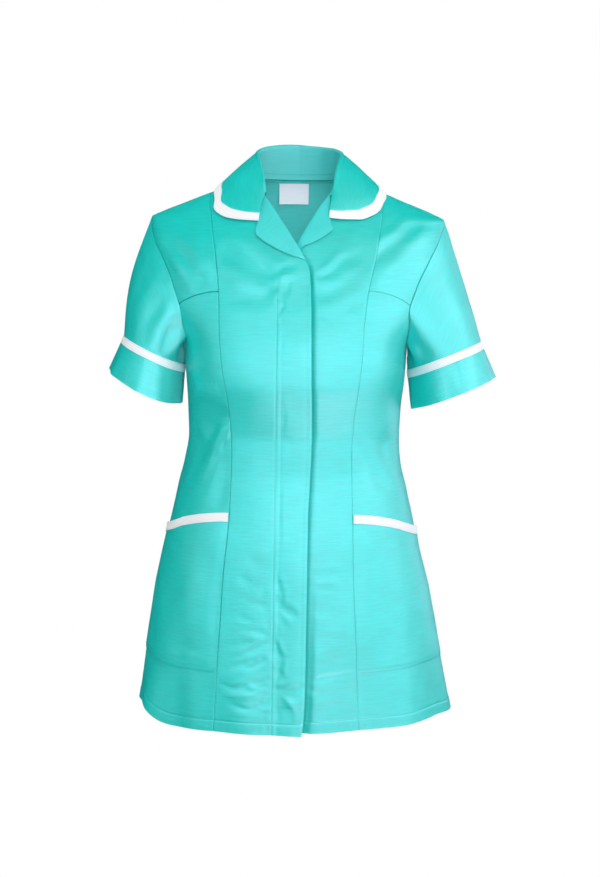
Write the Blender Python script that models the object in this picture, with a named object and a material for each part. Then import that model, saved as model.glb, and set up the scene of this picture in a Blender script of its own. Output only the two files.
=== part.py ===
"""Work tunic: a short-sleeved, fitted uniform tunic with a revere collar, contrast trims,
two side pockets and a concealed front zip, filled out as if worn but empty.

Units are metres in the scene and millimetres in the tables. +Z is up, the front faces -Y and
the wearer's right is -X. The origin lies midway between the two neck points, where the
shoulder seams meet the collar. The body of the garment is one smooth surface, torso(phi, z):
phi is the angle round a level section, 0 at the front middle and +90 degrees at the wearer's
left, and z is the height. Every panel is a patch of that surface between seam curves, made
into a wall, and what lies on a panel is the same surface moved out.
"""
import math

import bpy
import numpy as np

MM = 0.001
RIGHT, LEFT = -1, 1                 # the wearer's sides, as signs of x
SIDE_NAMES = {RIGHT: "right", LEFT: "left"}

# ---------- driving dimensions, in millimetres ----------
CLOTH = 1.2                         # thickness of a single wall
DOUBLED = 1.8                       # thickness of a trim or a turned-up cuff
SEAM_GAP = 0.3                      # between pieces that are sewn edge to edge
LAY_GAP = 0.6                       # between a panel and what lies on it
HEM_Z = -709
SHOULDER_TIP_Z = -53
UNDERARM_Z = -215
BACK_NECK_Z = -5

# ---------- the body, as level sections ----------
# half: half width. front, back: depths from the side line. lean: sideways shift of the middle.
# A power of 2 is an ellipse, and a higher one is squarer.
SECTION_COLUMNS = ("z", "half", "front", "back", "lean", "front_power", "back_power")
SECTIONS = (
    (6, 46, 24, 55, 0, 1.8, 1.9),
    (0, 63, 30, 59, 0, 1.8, 1.9),
    (-10, 89.5, 38, 64, 1, 1.8, 1.9),
    (-20, 116, 45, 68, 2, 1.8, 1.9),
    (-33, 149.5, 53, 72, 1.5, 1.8, 1.9),
    (-43, 175, 59, 75, 0, 1.8, 1.9),
    (-53, 192, 65, 78, -1, 1.85, 1.95),
    (-66, 191.5, 72.5, 82, -1, 2.15, 2.2),
    (-80, 190, 79, 86, -1, 2.4, 2.4),
    (-110, 186, 90, 92, -1, 2.5, 2.45),
    (-140, 180, 99, 97, -1, 2.45, 2.4),
    (-175, 168, 109, 101, -1, 2.4, 2.3),
    (-215, 148, 117, 103, -1, 2.35, 2.25),
    (-255, 145, 119, 101, -1, 2.35, 2.2),
    (-300, 141, 111.5, 96, -2, 2.3, 2.2),
    (-336, 140, 105.5, 93.5, -2, 2.25, 2.2),
    (-374, 144, 105.5, 98, -3, 2.25, 2.2),
    (-406, 151.5, 110, 105, -3, 2.25, 2.2),
    (-472, 167, 121, 119, -3, 2.25, 2.2),
    (-539, 182.5, 128, 128, -1, 2.2, 2.15),
    (-605, 194, 133, 134, 1, 2.15, 2.1),
    (-672, 205.5, 138, 139, 2.5, 2.1, 2.1),
    (HEM_Z, 212.5, 141, 142, 4, 2.05, 2.05),
)

# ---------- soft folds and fullness of the body ----------
# A row raises (or, below zero, sinks) the cloth round angle phi, from nothing at top to its
# whole height at full and back to nothing at end. Bust fullness is two of the rows.
FOLD_COLUMNS = ("phi", "top", "full", "end", "width", "height")
FOLDS = (
    (-38, -150, -235, -310, 17, 6),
    (38, -150, -235, -310, 17, 6),
    (-66, -560, -709, -900, 8, 4.5),
    (-47, -520, -709, -900, 7, -4),
    (-18, -540, -709, -900, 8, 3.5),
    (22, -560, -709, -900, 8, -3),
    (44, -520, -709, -900, 8, 4),
    (68, -560, -709, -900, 8, -3.5),
    (112, -560, -709, -900, 9, 4),
    (140, -520, -709, -900, 9, -4),
    (165, -500, -709, -900, 10, 5),
    (-168, -540, -709, -900, 9, -4),
    (-142, -520, -709, -900, 9, 5),
    (-112, -560, -709, -900, 9, -4),
    (-62, -318, -340, -395, 9, -3),
    (56, -318, -342, -385, 9, -3),
    (150, -300, -335, -380, 14, -3),
    (-150, -300, -335, -380, 14, -3),
)

# ---------- seams on the body ----------
# Distance from the middle line to the princess seam, at height z, on each side.
PRINCESS_COLUMNS = ("z", "right", "left")
PRINCESS = (
    (-57, 111.5, 106),
    (-100, 104.5, 99),
    (-142, 100.5, 90),
    (-180, 98, 85.5),
    (-243, 91, 80),
    (-312, 83.5, 75),
    (-345, 81.5, 73.5),
    (-427, 83.5, 75.5),
    (-513, 90.5, 78.5),
    (-621, 96, 84.5),
    (HEM_Z, 100.5, 89.5),
)
PRINCESS_TOP_Z = {RIGHT: -20, LEFT: -18}
BUST_SEAM_Z = {RIGHT: (-142, -161), LEFT: (-138, -158.5)}   # at the princess seam, at the armhole
BUST_SEAM_POWER = 1.5
# Angle of the armhole seam from the front middle (front) or from the back middle (back).
ARMHOLE_COLUMNS = ("z", "front_right", "front_left", "back_right", "back_left")
ARMHOLE = (
    (SHOULDER_TIP_Z, 90, 90, 90, 90),
    (-66, 83.6, 79.4, 83.6, 82.5),
    (-80, 76.7, 72.8, 78, 76.9),
    (-101, 66.8, 63.5, 69.2, 68.1),
    (-132, 59.1, 55.9, 62.1, 61),
    (-160, 57.8, 54.3, 59.7, 58.6),
    (-188, 62.7, 62.6, 65.4, 65.4),
    (-205, 72.7, 72.7, 74.8, 74.8),
    (UNDERARM_Z, 90, 90, 90, 90),
)
# Inner edge of each front, as a distance from the middle line towards its own side: the neck
# seam down to the collar's end, the lapel's fold, and then the front edge. The right front
# crosses over the left one, so its distance turns negative.
FRONT_EDGE_COLUMNS = ("z", "right", "left")
FRONT_EDGE = (
    (0, 63, 63),
    (-5, 62, 61.5),
    (-12, 56.5, 53.5),
    (-22, 43.5, 36.5),
    (-48, 23.5, 17.5),
    (-79, 2.5, -1.5),
    (-98, -9, -15),
    (-105, -12.5, -19.5),
    (-117, -15.5, -24),
    (-161, -18, -25),
    (-225, -19, -25),
    (-325, -21, -25),
    (-389, -19.5, -25),
    (-434, -18, -25),
    (-616, -17.5, -25),
    (-677, -16.5, -25),
    (HEM_Z, -14, -25),
)
PLACKET_STITCH = -25                # x of the placket's long stitch line
PLACKET_LIFT = (1.6, 3.4)           # how far the overlap stands out at its edge: top, hem
UNDERLAP_STEP = 4.6                 # depth of the left front under the overlap
LAPEL_ROOM = 0.9                    # more of that where the left lapel goes under as well
OVERLAP_DROP = 2                    # the overlap hangs this much below the hem at its edge
HEM_COLUMNS = ("phi", "rise")       # how far the hem rises above its level, round the body
HEM_EASE = 560                      # depth below the neck points where that rise begins
HEM = (
    (-180, 0),
    (-90, 0),
    (-65, -4),
    (-40, -1.5),
    (0, 1),
    (35, 4.5),
    (60, 6.5),
    (90, 0),
    (180, 0),
)

# ---------- grid counts ----------
SHOULDER_ROWS = (3, 4)              # neck point to princess seam, princess seam to tip
UPPER_ROWS = 10                     # princess seam or armhole, above the bust seam
LOWER_ROWS = 20                     # below it, to the hem
BUST_COLUMNS = 5
UNDERARM_COLUMNS = 4
# Columns of a centre front, as shares of the way from its princess seam to its front edge. They
# lie closer where one front steps under the other.
CENTRE_SHARES = {
    RIGHT: (0, 0.19, 0.38, 0.53, 0.68, 0.84, 1),
    LEFT: (0, 0.18, 0.36, 0.49, 0.55, 0.61, 0.67, 0.83, 1),
}
BACK_COLUMNS = 16
NECK_ROW_Z = (0, -5, -12, -22, -38, -58, -79, -95, -106, -122)   # rows of a front's inner edge

# ---------- sleeves, at the side line: (x, z) of outer and inner ends of two rings ----------
SLEEVE_COLUMNS = ("trim_outer", "trim_inner", "hem_outer", "hem_inner", "cap_bulge")
SLEEVES = {
    RIGHT: ((229, -208), (149.5, -246), (247, -251), (152, -295.5), 7.5),
    LEFT: ((243.5, -209), (149.5, -249), (262, -256), (150.5, -299.5), 1.5),
}
SLEEVE_DEPTH = (124, 132)           # front to back, at the trim and at the hem
SLEEVE_MIDDLE_Y = (-4, -8)          # a sleeve hangs a little forward
# How much lower than its back a sleeve's front is, at the trim and at the hem.
SLEEVE_FRONT_DROP = {RIGHT: (-3.5, 4), LEFT: (-6, -4.5)}
SLEEVE_ROWS = 6
CUFF_ROWS = 3
TRIM_SHARE = 0.21                   # of the way from the trim's top to the sleeve's hem

# ---------- collar, from its front end (0) to the back middle (1) ----------
# Edge: angle and height on the body under the fall's outer edge. Roll: the crest of the fold.
COLLAR_COLUMNS = ("along", "seam_phi", "seam_z", "roll_x", "roll_y", "roll_z",
                  "edge_phi_right", "edge_z_right", "edge_phi_left", "edge_z_left")
COLLAR = (
    (0.00, 23.5, -21.5, 43.0, -47, -17, 16.5, -54.5, 14.0, -49.5),
    (0.10, 30, -16.8, 45.0, -42, -6, 23.0, -53.8, 20.0, -51),
    (0.20, 38, -12.2, 47.0, -34, 5, 29.5, -51.5, 26.0, -51),
    (0.32, 53, -6.0, 50.0, -22, 17, 38.0, -45, 34.0, -46),
    (0.45, 75, -1.5, 53.5, -6, 27, 55.0, -28, 52.0, -29.5),
    (0.58, 105, -0.5, 55.5, 12, 33, 90.0, -15.5, 90.0, -15),
    (0.72, 130, -2.0, 48.0, 32, 38, 122.0, -14.5, 122.0, -14.5),
    (0.86, 155, -4.0, 27.0, 50, 41.5, 152.0, -17, 152.0, -17),
    (1.00, 180, BACK_NECK_Z, 0.0, 57, 43, 180.0, -19, 180.0, -19),
)
COLLAR_ROLL_WIDTH = (3.6, 5.5)      # across the fold, at the front end and at the back
COLLAR_RISE = 1.3                   # of the stand above the neck seam
COLLAR_EDGE_LIFT = 3.6              # of the fall's edge above the body
COLLAR_TRIM = 11.5
COLLAR_FRONT_SHARE = 0.4            # up to here the collar's seam is the front's inner edge
COLLAR_STEPS = 34
FALL_BULGE = 2.5

# ---------- lapels: (distance, z) of the four corners, from the fold outwards ----------
LAPELS = {
    RIGHT: {"fold_top": (39, -27.5), "fold_bottom": (-10.6, -101),
            "tip": (54, -70.5), "outer_top": (47.5, -37)},
    LEFT: {"fold_top": (32.5, -27), "fold_bottom": (-0.6, -80.5),
           "tip": (44.5, -63), "outer_top": (39.5, -37)},
}
LAPEL_LEFT_TUCK = (-3.2, -86.5)      # where the left lapel goes under the right front
LAPEL_GRID = (8, 9)
LAPEL_GAP = 0.75                    # between a front and its lapel
FOLD_INSET = 0.4                    # of a lapel's fold from the front's edge

# ---------- pockets and small pieces ----------
POCKET_TOP_Z = (-426.5, -462)       # at the princess seam, at the side seam
POCKET_TOP_POWER = 1.5
POCKET_BOTTOM_Z = -634
POCKET_TRIM = 11.5
POCKET_ROWS = 9
POCKET_STAND = 2.0                  # how far the pocket's mouth stands off
POCKET_INSET = 0.25                 # degrees between a pocket's side and the seam
LABEL = {"x": (-27, 13), "z": (-7.5, -34.5), "tilt": 2.2, "thickness": 1.0}
ZIP = {"x": (-16, 8), "top_z": -122, "rows": 18, "thickness": 1.0}
SLIDER = {"x": (-8, 0), "z": (-107, -120), "thickness": 1.3}
ZIP_GAP = 0.9                       # between the right front's inner face and the tape

# ---------- materials: colour, roughness, metallic ----------
MATERIALS = {
    "cloth": ((0.02, 0.62, 0.55, 1), 0.75, 0.0),
    "trim": ((0.92, 0.93, 0.94, 1), 0.8, 0.0),
    "label": ((0.85, 0.87, 0.92, 1), 0.7, 0.0),
    "zip": ((0.02, 0.5, 0.45, 1), 0.6, 0.0),
    "slider": ((0.7, 0.72, 0.74, 1), 0.3, 1.0),
}


# ---------- smooth curves through tables ----------
def column(rows, names, name):
    return np.array([row[names.index(name)] for row in rows], float)


def smooth(at, knots, values):
    """A curve through the values that doesn't overshoot them (monotone cubic)."""
    at = np.asarray(at, float)
    if knots[0] > knots[-1]:
        knots, values = knots[::-1], values[::-1]
    step = np.diff(knots)
    slope = np.diff(values) / step
    tangent = np.zeros(len(knots))
    tangent[0], tangent[-1] = slope[0], slope[-1]
    for i in range(1, len(knots) - 1):
        if slope[i - 1] * slope[i] > 0:
            before, after = step[i] * 2 + step[i - 1], step[i] + step[i - 1] * 2
            tangent[i] = (before + after) / (before / slope[i - 1] + after / slope[i])
    i = np.clip(np.searchsorted(knots, at) - 1, 0, len(knots) - 2)
    t = np.clip((at - knots[i]) / step[i], 0, 1)
    return (
        (1 + 2 * t) * (1 - t) ** 2 * values[i]
        + t * (1 - t) ** 2 * step[i] * tangent[i]
        + t * t * (3 - 2 * t) * values[i + 1]
        + t * t * (t - 1) * step[i] * tangent[i + 1]
    )


def read(rows, names, name, at, key="z"):
    return smooth(at, column(rows, names, key), column(rows, names, name))


def ramp(value, start, end):
    """0 before start, 1 after end, smooth between."""
    t = np.clip((value - start) / (end - start), 0, 1)
    return t * t * (3 - 2 * t)


# ---------- the body's surface ----------
def fold_relief(phi, z):
    """How far the folds raise the cloth, in millimetres."""
    total = np.zeros(np.broadcast(phi, z).shape)
    turn = 2 * math.pi
    for angle, top, full, end, width, height in FOLDS:
        away = (phi - math.radians(angle) + math.pi) % turn - math.pi
        across = np.exp(-((away / math.radians(width)) ** 2))
        along = ramp(-z, -top, -full) * (1 - ramp(-z, -full, -end))
        total = total + height * across * along
    return total


def torso(phi, z):
    """Point of the body's outer surface, in millimetres. phi in radians."""
    phi, z = np.broadcast_arrays(np.asarray(phi, float), np.asarray(z, float))
    sizes = {name: read(SECTIONS, SECTION_COLUMNS, name, z) for name in SECTION_COLUMNS[1:]}
    sine, cosine = np.sin(phi), np.cos(phi)
    in_front = cosine > 0
    power = 2 / np.where(in_front, sizes["front_power"], sizes["back_power"])
    depth = np.where(in_front, sizes["front"], sizes["back"])
    relief = fold_relief(phi, z)
    x = sizes["lean"] + sizes["half"] * np.sign(sine) * np.abs(sine) ** power + relief * sine
    y = -depth * np.sign(cosine) * np.abs(cosine) ** power - relief * cosine
    return np.stack([x, y, z], -1)


def unit(vectors):
    return vectors / np.maximum(np.linalg.norm(vectors, axis=-1, keepdims=True), 1e-9)


def torso_normal(phi, z):
    turn, drop = 0.02, 1.5
    across = torso(phi + turn, z) - torso(phi - turn, z)
    down = torso(phi, z - drop) - torso(phi, z + drop)
    return unit(np.cross(down, across))


def moved_torso(phi, z, out):
    return torso(phi, z) + torso_normal(phi, z) * np.asarray(out)[..., None]


def angle_at(x, z, back=False):
    """The angle phi at which the body's section at height z reaches x."""
    half = read(SECTIONS, SECTION_COLUMNS, "half", z)
    lean = read(SECTIONS, SECTION_COLUMNS, "lean", z)
    power = read(SECTIONS, SECTION_COLUMNS, "back_power" if back else "front_power", z)
    share = np.clip((np.asarray(x, float) - lean) / half, -1, 1)
    phi = np.arcsin(np.abs(share) ** (power / 2)) * np.sign(share)
    return math.pi - phi if back else phi


# ---------- seam curves, each a list of (phi, z) ----------
def path(phi, z):
    phi, z = np.broadcast_arrays(phi, z)
    return np.stack([phi, z], -1).astype(float)


def princess(side, z_from, z_to, steps):
    """The princess seam, which starts on the shoulder seam."""
    top = PRINCESS_TOP_Z[side]
    knots = np.concatenate([[top], column(PRINCESS, PRINCESS_COLUMNS, "z")])
    ridge = read(SECTIONS, SECTION_COLUMNS, "half", top)
    values = column(PRINCESS, PRINCESS_COLUMNS, SIDE_NAMES[side])
    z = np.linspace(z_from, z_to, steps + 1)
    x = side * smooth(z, knots, np.concatenate([[ridge], values]))
    phi = angle_at(x, z)
    phi[z >= top] = side * math.pi / 2
    return path(phi, z)


def armhole(side, z_from, z_to, steps, back=False):
    z = np.linspace(z_from, z_to, steps + 1)
    name = ("back_" if back else "front_") + SIDE_NAMES[side]
    phi = np.radians(read(ARMHOLE, ARMHOLE_COLUMNS, name, z))
    return path(side * (math.pi - phi if back else phi), z)


def shoulder(side, z_from, z_to, steps):
    return path(side * math.pi / 2, np.linspace(z_from, z_to, steps + 1))


def side_seam(side, steps=LOWER_ROWS):
    return path(side * math.pi / 2, np.linspace(UNDERARM_Z, HEM_Z, steps + 1))


def bust_seam(side, steps=BUST_COLUMNS):
    inner_z, outer_z = BUST_SEAM_Z[side]
    start = princess(side, inner_z, inner_z, 0)[0, 0]
    end = armhole(side, outer_z, outer_z, 0)[0, 0]
    t = np.linspace(0, 1, steps + 1)
    return path(start + (end - start) * t, inner_z + (outer_z - inner_z) * t**BUST_SEAM_POWER)


def underarm(side, back=False, steps=UNDERARM_COLUMNS):
    """The lowest stretch of the armhole, from the bust seam's end to the side seam."""
    t = np.linspace(0, 1, steps + 1)
    outer_z = BUST_SEAM_Z[side][1]
    z = outer_z + (UNDERARM_Z - outer_z) * np.sin(t * math.pi / 2)
    name = ("back_" if back else "front_") + SIDE_NAMES[side]
    phi = np.radians(read(ARMHOLE, ARMHOLE_COLUMNS, name, z))
    return path(side * (math.pi - phi if back else phi), z)


def front_edge_x(side, z):
    return side * read(FRONT_EDGE, FRONT_EDGE_COLUMNS, SIDE_NAMES[side], z)


def front_edge(side):
    """A front's inner edge, from the neck point to the hem."""
    split = BUST_SEAM_Z[side][0]
    lower = np.linspace(split, HEM_Z, LOWER_ROWS + 1)
    z = np.concatenate([NECK_ROW_Z, lower])
    phi = angle_at(front_edge_x(side, z), z)
    phi[0] = side * math.pi / 2
    line = path(phi, z)
    if side == RIGHT:
        line[:, 1] -= OVERLAP_DROP * ramp(-z, HEM_EASE, -HEM_Z)
    return line


def joined(*lines):
    """One curve from several that follow each other."""
    return np.concatenate([lines[0]] + [line[1:] for line in lines[1:]])


def raised_hem(grid):
    """The grid with its lowest rows lifted to the hem's curve."""
    turn = (np.degrees(grid[..., 0]) + 180) % 360 - 180
    rise = read(HEM, HEM_COLUMNS, "rise", turn, key="phi")
    lifted = grid.copy()
    lifted[..., 1] += rise * ramp(-grid[..., 1], HEM_EASE, -HEM_Z)
    return lifted


def straight(start, end, steps):
    t = np.linspace(0, 1, steps + 1)[:, None]
    return np.asarray(start) * (1 - t) + np.asarray(end) * t


def patch(top, bottom, left, right, shares=None):
    """Grid of (phi, z) between four curves that share corners (a Coons patch)."""
    s = (np.linspace(0, 1, len(top)) if shares is None else shares)[None, :, None]
    t = np.linspace(0, 1, len(left))[:, None, None]
    corners = (
        (1 - s) * (1 - t) * top[0] + s * (1 - t) * top[-1]
        + (1 - s) * t * bottom[0] + s * t * bottom[-1]
    )
    return (1 - t) * top + t * bottom + (1 - s) * left[:, None] + s * right[:, None] - corners


# ---------- how the two fronts cross ----------
def overlap_lift(x, z):
    """How far the right front stands out, from nothing at its stitch line to its edge."""
    top, hem = PLACKET_LIFT
    height = top + (hem - top) * ramp(-z, 300, -HEM_Z)
    edge = front_edge_x(RIGHT, z)
    return height * ramp(x, PLACKET_STITCH - 3, edge - 4) * ramp(-z, 60, 115)


def underlap_sink(x, z):
    """How far the left front steps in to pass under the right front."""
    edge = front_edge_x(RIGHT, z)
    near = ramp(edge + 9 - x, 0, 7)
    far = ramp(edge + 5.5 - x, 0, 7)
    room = LAPEL_ROOM * near * ramp(-z, 60, 78) * (1 - ramp(-z, 95, 125))
    step = 0.5 * UNDERLAP_STEP * (near + far) + room
    return (overlap_lift(np.minimum(x, edge), z) * near - step) * ramp(-z, 55, 78)


def front_offset(side, phi, z):
    x = torso(phi, z)[..., 0]
    return overlap_lift(x, z) if side == RIGHT else underlap_sink(x, z)


# ---------- walls ----------
def pulled_in(outer, inner, edges, by):
    """Moves the named edges of a wall's two grids inwards, so that a seam keeps its gap."""
    for name in edges:
        near, far = {
            "top": (np.s_[0, :], np.s_[1, :]),
            "bottom": (np.s_[-1, :], np.s_[-2, :]),
            "left": (np.s_[:, 0], np.s_[:, 1]),
            "right": (np.s_[:, -1], np.s_[:, -2]),
        }[name]
        move = unit(outer[far] - outer[near]) * by
        outer[near] += move
        inner[near] += move
    return outer, inner


def wall(name, outer, inner, material, ring=False):
    """A closed wall between two grids of points. A ring's last column meets its first."""
    rows, columns = outer.shape[:2]
    points = np.concatenate([outer.reshape(-1, 3), inner.reshape(-1, 3)]) * MM
    index = np.arange(rows * columns).reshape(rows, columns)
    back = index + rows * columns
    if ring:
        index = np.concatenate([index, index[:, :1]], 1)
        back = np.concatenate([back, back[:, :1]], 1)
    faces = []

    def strip(a, b):
        for k in range(len(a) - 1):
            faces.append((a[k], a[k + 1], b[k + 1], b[k]))

    for row in range(rows - 1):
        strip(index[row], index[row + 1])
        strip(back[row + 1], back[row])
    strip(back[0], index[0])
    strip(index[-1], back[-1])
    if not ring:
        strip(index[:, 0], back[:, 0])
        strip(back[:, -1], index[:, -1])
    mesh = bpy.data.meshes.new(name)
    mesh.from_pydata([tuple(p) for p in points], [], [tuple(map(int, f)) for f in faces])
    if signed_volume(mesh) < 0:
        mesh.flip_normals()
    mesh.shade_smooth()
    mesh.set_sharp_from_angle(angle=math.radians(50))
    mesh.materials.append(material)
    obj = bpy.data.objects.new(name, mesh)
    bpy.context.scene.collection.objects.link(obj)
    return obj


def signed_volume(mesh):
    mesh.calc_loop_triangles()
    corners = np.array([[mesh.vertices[i].co for i in t.vertices] for t in mesh.loop_triangles])
    return float(np.linalg.det(corners).sum() / 6)


def body_wall(name, grid, out, material, edges=(), thickness=CLOTH):
    """A wall on the body: its outer face lies out beyond the body's surface."""
    grid = raised_hem(grid)
    phi, z = grid[..., 0], grid[..., 1]
    out = np.broadcast_to(out, phi.shape)
    outer = moved_torso(phi, z, out)
    inner = moved_torso(phi, z, out - thickness)
    outer, inner = pulled_in(outer, inner, edges, SEAM_GAP / 2)
    return wall(name, outer, inner, material)


# ---------- panels ----------
def centre_front_grid(side):
    inner_z = BUST_SEAM_Z[side][0]
    seam = joined(
        princess(side, PRINCESS_TOP_Z[side], inner_z, UPPER_ROWS),
        princess(side, inner_z, HEM_Z, LOWER_ROWS),
    )
    edge = front_edge(side)
    shares = np.array(CENTRE_SHARES[side])
    top = path(side * math.pi / 2, PRINCESS_TOP_Z[side] * (1 - shares))
    hem = seam[-1] * (1 - shares[:, None]) + edge[-1] * shares[:, None]
    return patch(top, hem, seam, edge, shares)


def side_upper_grid(side):
    inner_z, outer_z = BUST_SEAM_Z[side]
    seam = princess(side, PRINCESS_TOP_Z[side], inner_z, UPPER_ROWS)
    arm = armhole(side, SHOULDER_TIP_Z, outer_z, UPPER_ROWS)
    top = shoulder(side, PRINCESS_TOP_Z[side], SHOULDER_TIP_Z, BUST_COLUMNS)
    return patch(top, bust_seam(side), seam, arm)


def side_lower_grid(side):
    inner_z = BUST_SEAM_Z[side][0]
    seam = princess(side, inner_z, HEM_Z, LOWER_ROWS)
    out = side_seam(side)
    top = joined(bust_seam(side), underarm(side))
    hem = straight(seam[-1], out[-1], len(top) - 1)
    return patch(top, hem, seam, out)


def back_side_line(side):
    """The back's long edge: shoulder seam, armhole and side seam."""
    inner, outer = SHOULDER_ROWS
    top = PRINCESS_TOP_Z[side]
    return joined(
        shoulder(side, 0, top, inner),
        shoulder(side, top, SHOULDER_TIP_Z, outer),
        armhole(side, SHOULDER_TIP_Z, BUST_SEAM_Z[side][1], UPPER_ROWS, back=True),
        underarm(side, back=True),
        side_seam(side),
    )


def back_grid():
    left, right = back_side_line(LEFT), back_side_line(RIGHT)
    right[:, 0] += 2 * math.pi
    phi = np.linspace(math.pi / 2, 3 * math.pi / 2, BACK_COLUMNS + 1)
    neck = path(phi, smooth(np.abs(np.degrees(phi) - 180), *neck_dip()))
    hem = path(phi, HEM_Z)
    return patch(neck, hem, left, right)


def neck_dip():
    """Height of the back neck seam, by angle from the back middle."""
    rows = [row for row in COLLAR if row[1] > 100]
    angle = np.array([180 - row[1] for row in rows] + [90.0])
    height = np.array([row[2] for row in rows] + [0.0])
    order = np.argsort(angle)
    return angle[order], height[order]


# ---------- sleeves ----------
def armhole_ring(side):
    """The armhole from the shoulder tip down the front and up the back, as (phi, z)."""
    outer_z = BUST_SEAM_Z[side][1]
    halves = [
        joined(armhole(side, SHOULDER_TIP_Z, outer_z, UPPER_ROWS, back), underarm(side, back))
        for back in (False, True)
    ]
    return np.concatenate([halves[0], halves[1][-2:0:-1]])


def sleeve_ring(side, share, turn):
    """A ring between the trim's top (share 0) and the sleeve's hem (share 1)."""
    size = dict(zip(SLEEVE_COLUMNS, SLEEVES[side]))
    outer = np.array(size["trim_outer"]) * (1 - share) + np.array(size["hem_outer"]) * share
    inner = np.array(size["trim_inner"]) * (1 - share) + np.array(size["hem_inner"]) * share
    depth = SLEEVE_DEPTH[0] * (1 - share) + SLEEVE_DEPTH[1] * share
    middle_y = SLEEVE_MIDDLE_Y[0] * (1 - share) + SLEEVE_MIDDLE_Y[1] * share
    inward = (1 - np.cos(turn)) / 2
    forward = np.sin(turn)
    first, last = SLEEVE_FRONT_DROP[side]
    drop = first + (last - first) * share**2
    x = side * (outer[0] * (1 - inward) + inner[0] * inward)
    z = outer[1] * (1 - inward) + inner[1] * inward - drop * forward
    y = middle_y - depth / 2 * forward
    return np.stack([x, y, z], -1)


def ring_turns(side):
    """The angle round a sleeve of each point of its armhole ring."""
    ring = torso(*armhole_ring(side).T)
    lengths = np.linalg.norm(np.diff(ring, axis=0, append=ring[:1]), axis=1)
    low = int(np.argmin(ring[:, 2]))
    front = np.concatenate([[0], np.cumsum(lengths[:low])])
    back = np.concatenate([[0], np.cumsum(lengths[low:])])[:-1]
    return np.concatenate([
        math.pi * front / front[-1],
        math.pi + math.pi * back[1:] / lengths[low:].sum(),
    ])


def sleeve_rows(side, rows):
    """Rings of the sleeve above its trim: the armhole first, the trim's top last."""
    ring = torso(*armhole_ring(side).T)
    turn = ring_turns(side)
    end = sleeve_ring(side, 0, turn)
    bulge = dict(zip(SLEEVE_COLUMNS, SLEEVES[side]))["cap_bulge"]
    found = []
    for t in np.linspace(0, 1, rows + 1):
        row = ring * (1 - t) + end * t
        row[:, 0] += side * bulge * math.sin(math.pi * t) * (1 + np.cos(turn)) / 2
        found.append(row)
    return np.array(found)


def ring_inner(rows, thickness):
    """The inner face of a tube, from its outer rings."""
    around = np.roll(rows, -1, axis=1) - np.roll(rows, 1, axis=1)
    along = np.gradient(rows, axis=0)
    normal = unit(np.cross(around, along))
    outward = rows - rows.mean(axis=1, keepdims=True)
    normal *= np.sign((normal * outward).sum(-1, keepdims=True))
    return rows - normal * thickness


def tube(name, rows, material, thickness, proud=0.0, top_gap=SEAM_GAP / 2):
    inner = ring_inner(rows, thickness - proud)
    outer = ring_inner(rows, -proud)
    outer, inner = pulled_in(outer, inner, ("top",), top_gap)
    outer, inner = pulled_in(outer, inner, ("bottom",), SEAM_GAP / 2)
    return wall(name, outer, inner, material, ring=True)


def make_sleeve(side, materials):
    turn = ring_turns(side)
    label = SIDE_NAMES[side]
    rows = sleeve_rows(side, SLEEVE_ROWS)
    tube(f"sleeve_{label}", rows, materials["cloth"], CLOTH, top_gap=2 * SEAM_GAP)
    trim = [sleeve_ring(side, share, turn) for share in (0, TRIM_SHARE)]
    tube(f"sleeve_trim_{label}", np.array(trim), materials["trim"], DOUBLED, 0.5)
    shares = np.linspace(TRIM_SHARE, 1, CUFF_ROWS + 1)
    cuff = [sleeve_ring(side, share, turn) for share in shares]
    tube(f"cuff_{label}", np.array(cuff), materials["cloth"], DOUBLED, 0.3)


# ---------- collar ----------
def collar_value(name, along):
    return read(COLLAR, COLLAR_COLUMNS, name, along, key="along")


def collar_section(side, along):
    """The middle of the collar's cloth across one section: seam, stand, roll, fall, edge."""
    seam_z = float(collar_value("seam_z", along))
    seam_phi = side * math.radians(float(collar_value("seam_phi", along)))
    if along < COLLAR_FRONT_SHARE:
        seam_phi = float(angle_at(front_edge_x(side, seam_z), seam_z))
    lean_in = 1 - float(ramp(along, 0, 0.45))
    rise = unit(np.array([-side * lean_in, 0, 1])) * COLLAR_RISE
    base = moved_torso(seam_phi, seam_z, -CLOTH / 2) + rise
    roll = np.array([float(collar_value(f"roll_{axis}", along)) for axis in "xyz"])
    roll[0] *= side
    edge_phi = side * math.radians(float(collar_value(f"edge_phi_{SIDE_NAMES[side]}", along)))
    edge_z = float(collar_value(f"edge_z_{SIDE_NAMES[side]}", along))
    edge = moved_torso(edge_phi, edge_z, COLLAR_EDGE_LIFT)
    width = COLLAR_ROLL_WIDTH[0] * (1 - along) + COLLAR_ROLL_WIDTH[1] * along
    fall = edge - roll
    out = unit(fall * np.array([1, 1, 0]))
    up = np.array([0, 0, 1.0])
    radius = width / 2
    centre = roll - up * radius
    stand = straight(base, centre - out * radius, 3)[:-1]
    angles = np.linspace(math.pi, 0, 5)
    bend = [centre + out * radius * math.cos(a) + up * radius * math.sin(a) for a in angles]
    start = centre + out * radius
    length = float(np.linalg.norm(edge - start))
    shares = np.concatenate([np.linspace(0, 1 - COLLAR_TRIM / length, 5)[1:], [1]])
    lift = unit(np.cross(np.cross(edge - start, up), edge - start))
    drop = [
        start * (1 - t) + edge * t + lift * FALL_BULGE * math.sin(math.pi * t) for t in shares
    ]
    return np.array(list(stand) + bend + drop)


def collar_grid():
    half = np.linspace(0, 1, COLLAR_STEPS // 2 + 1)
    sections = [collar_section(RIGHT, along) for along in half]
    sections += [collar_section(LEFT, along) for along in half[-2::-1]]
    return np.array(sections).transpose(1, 0, 2)


def sheet_faces(middle, thickness):
    """The two faces of a wall, from its middle surface."""
    across = np.gradient(middle, axis=1)
    along = np.gradient(middle, axis=0)
    normal = unit(np.cross(across, along))
    return middle + normal * thickness / 2, middle - normal * thickness / 2


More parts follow.
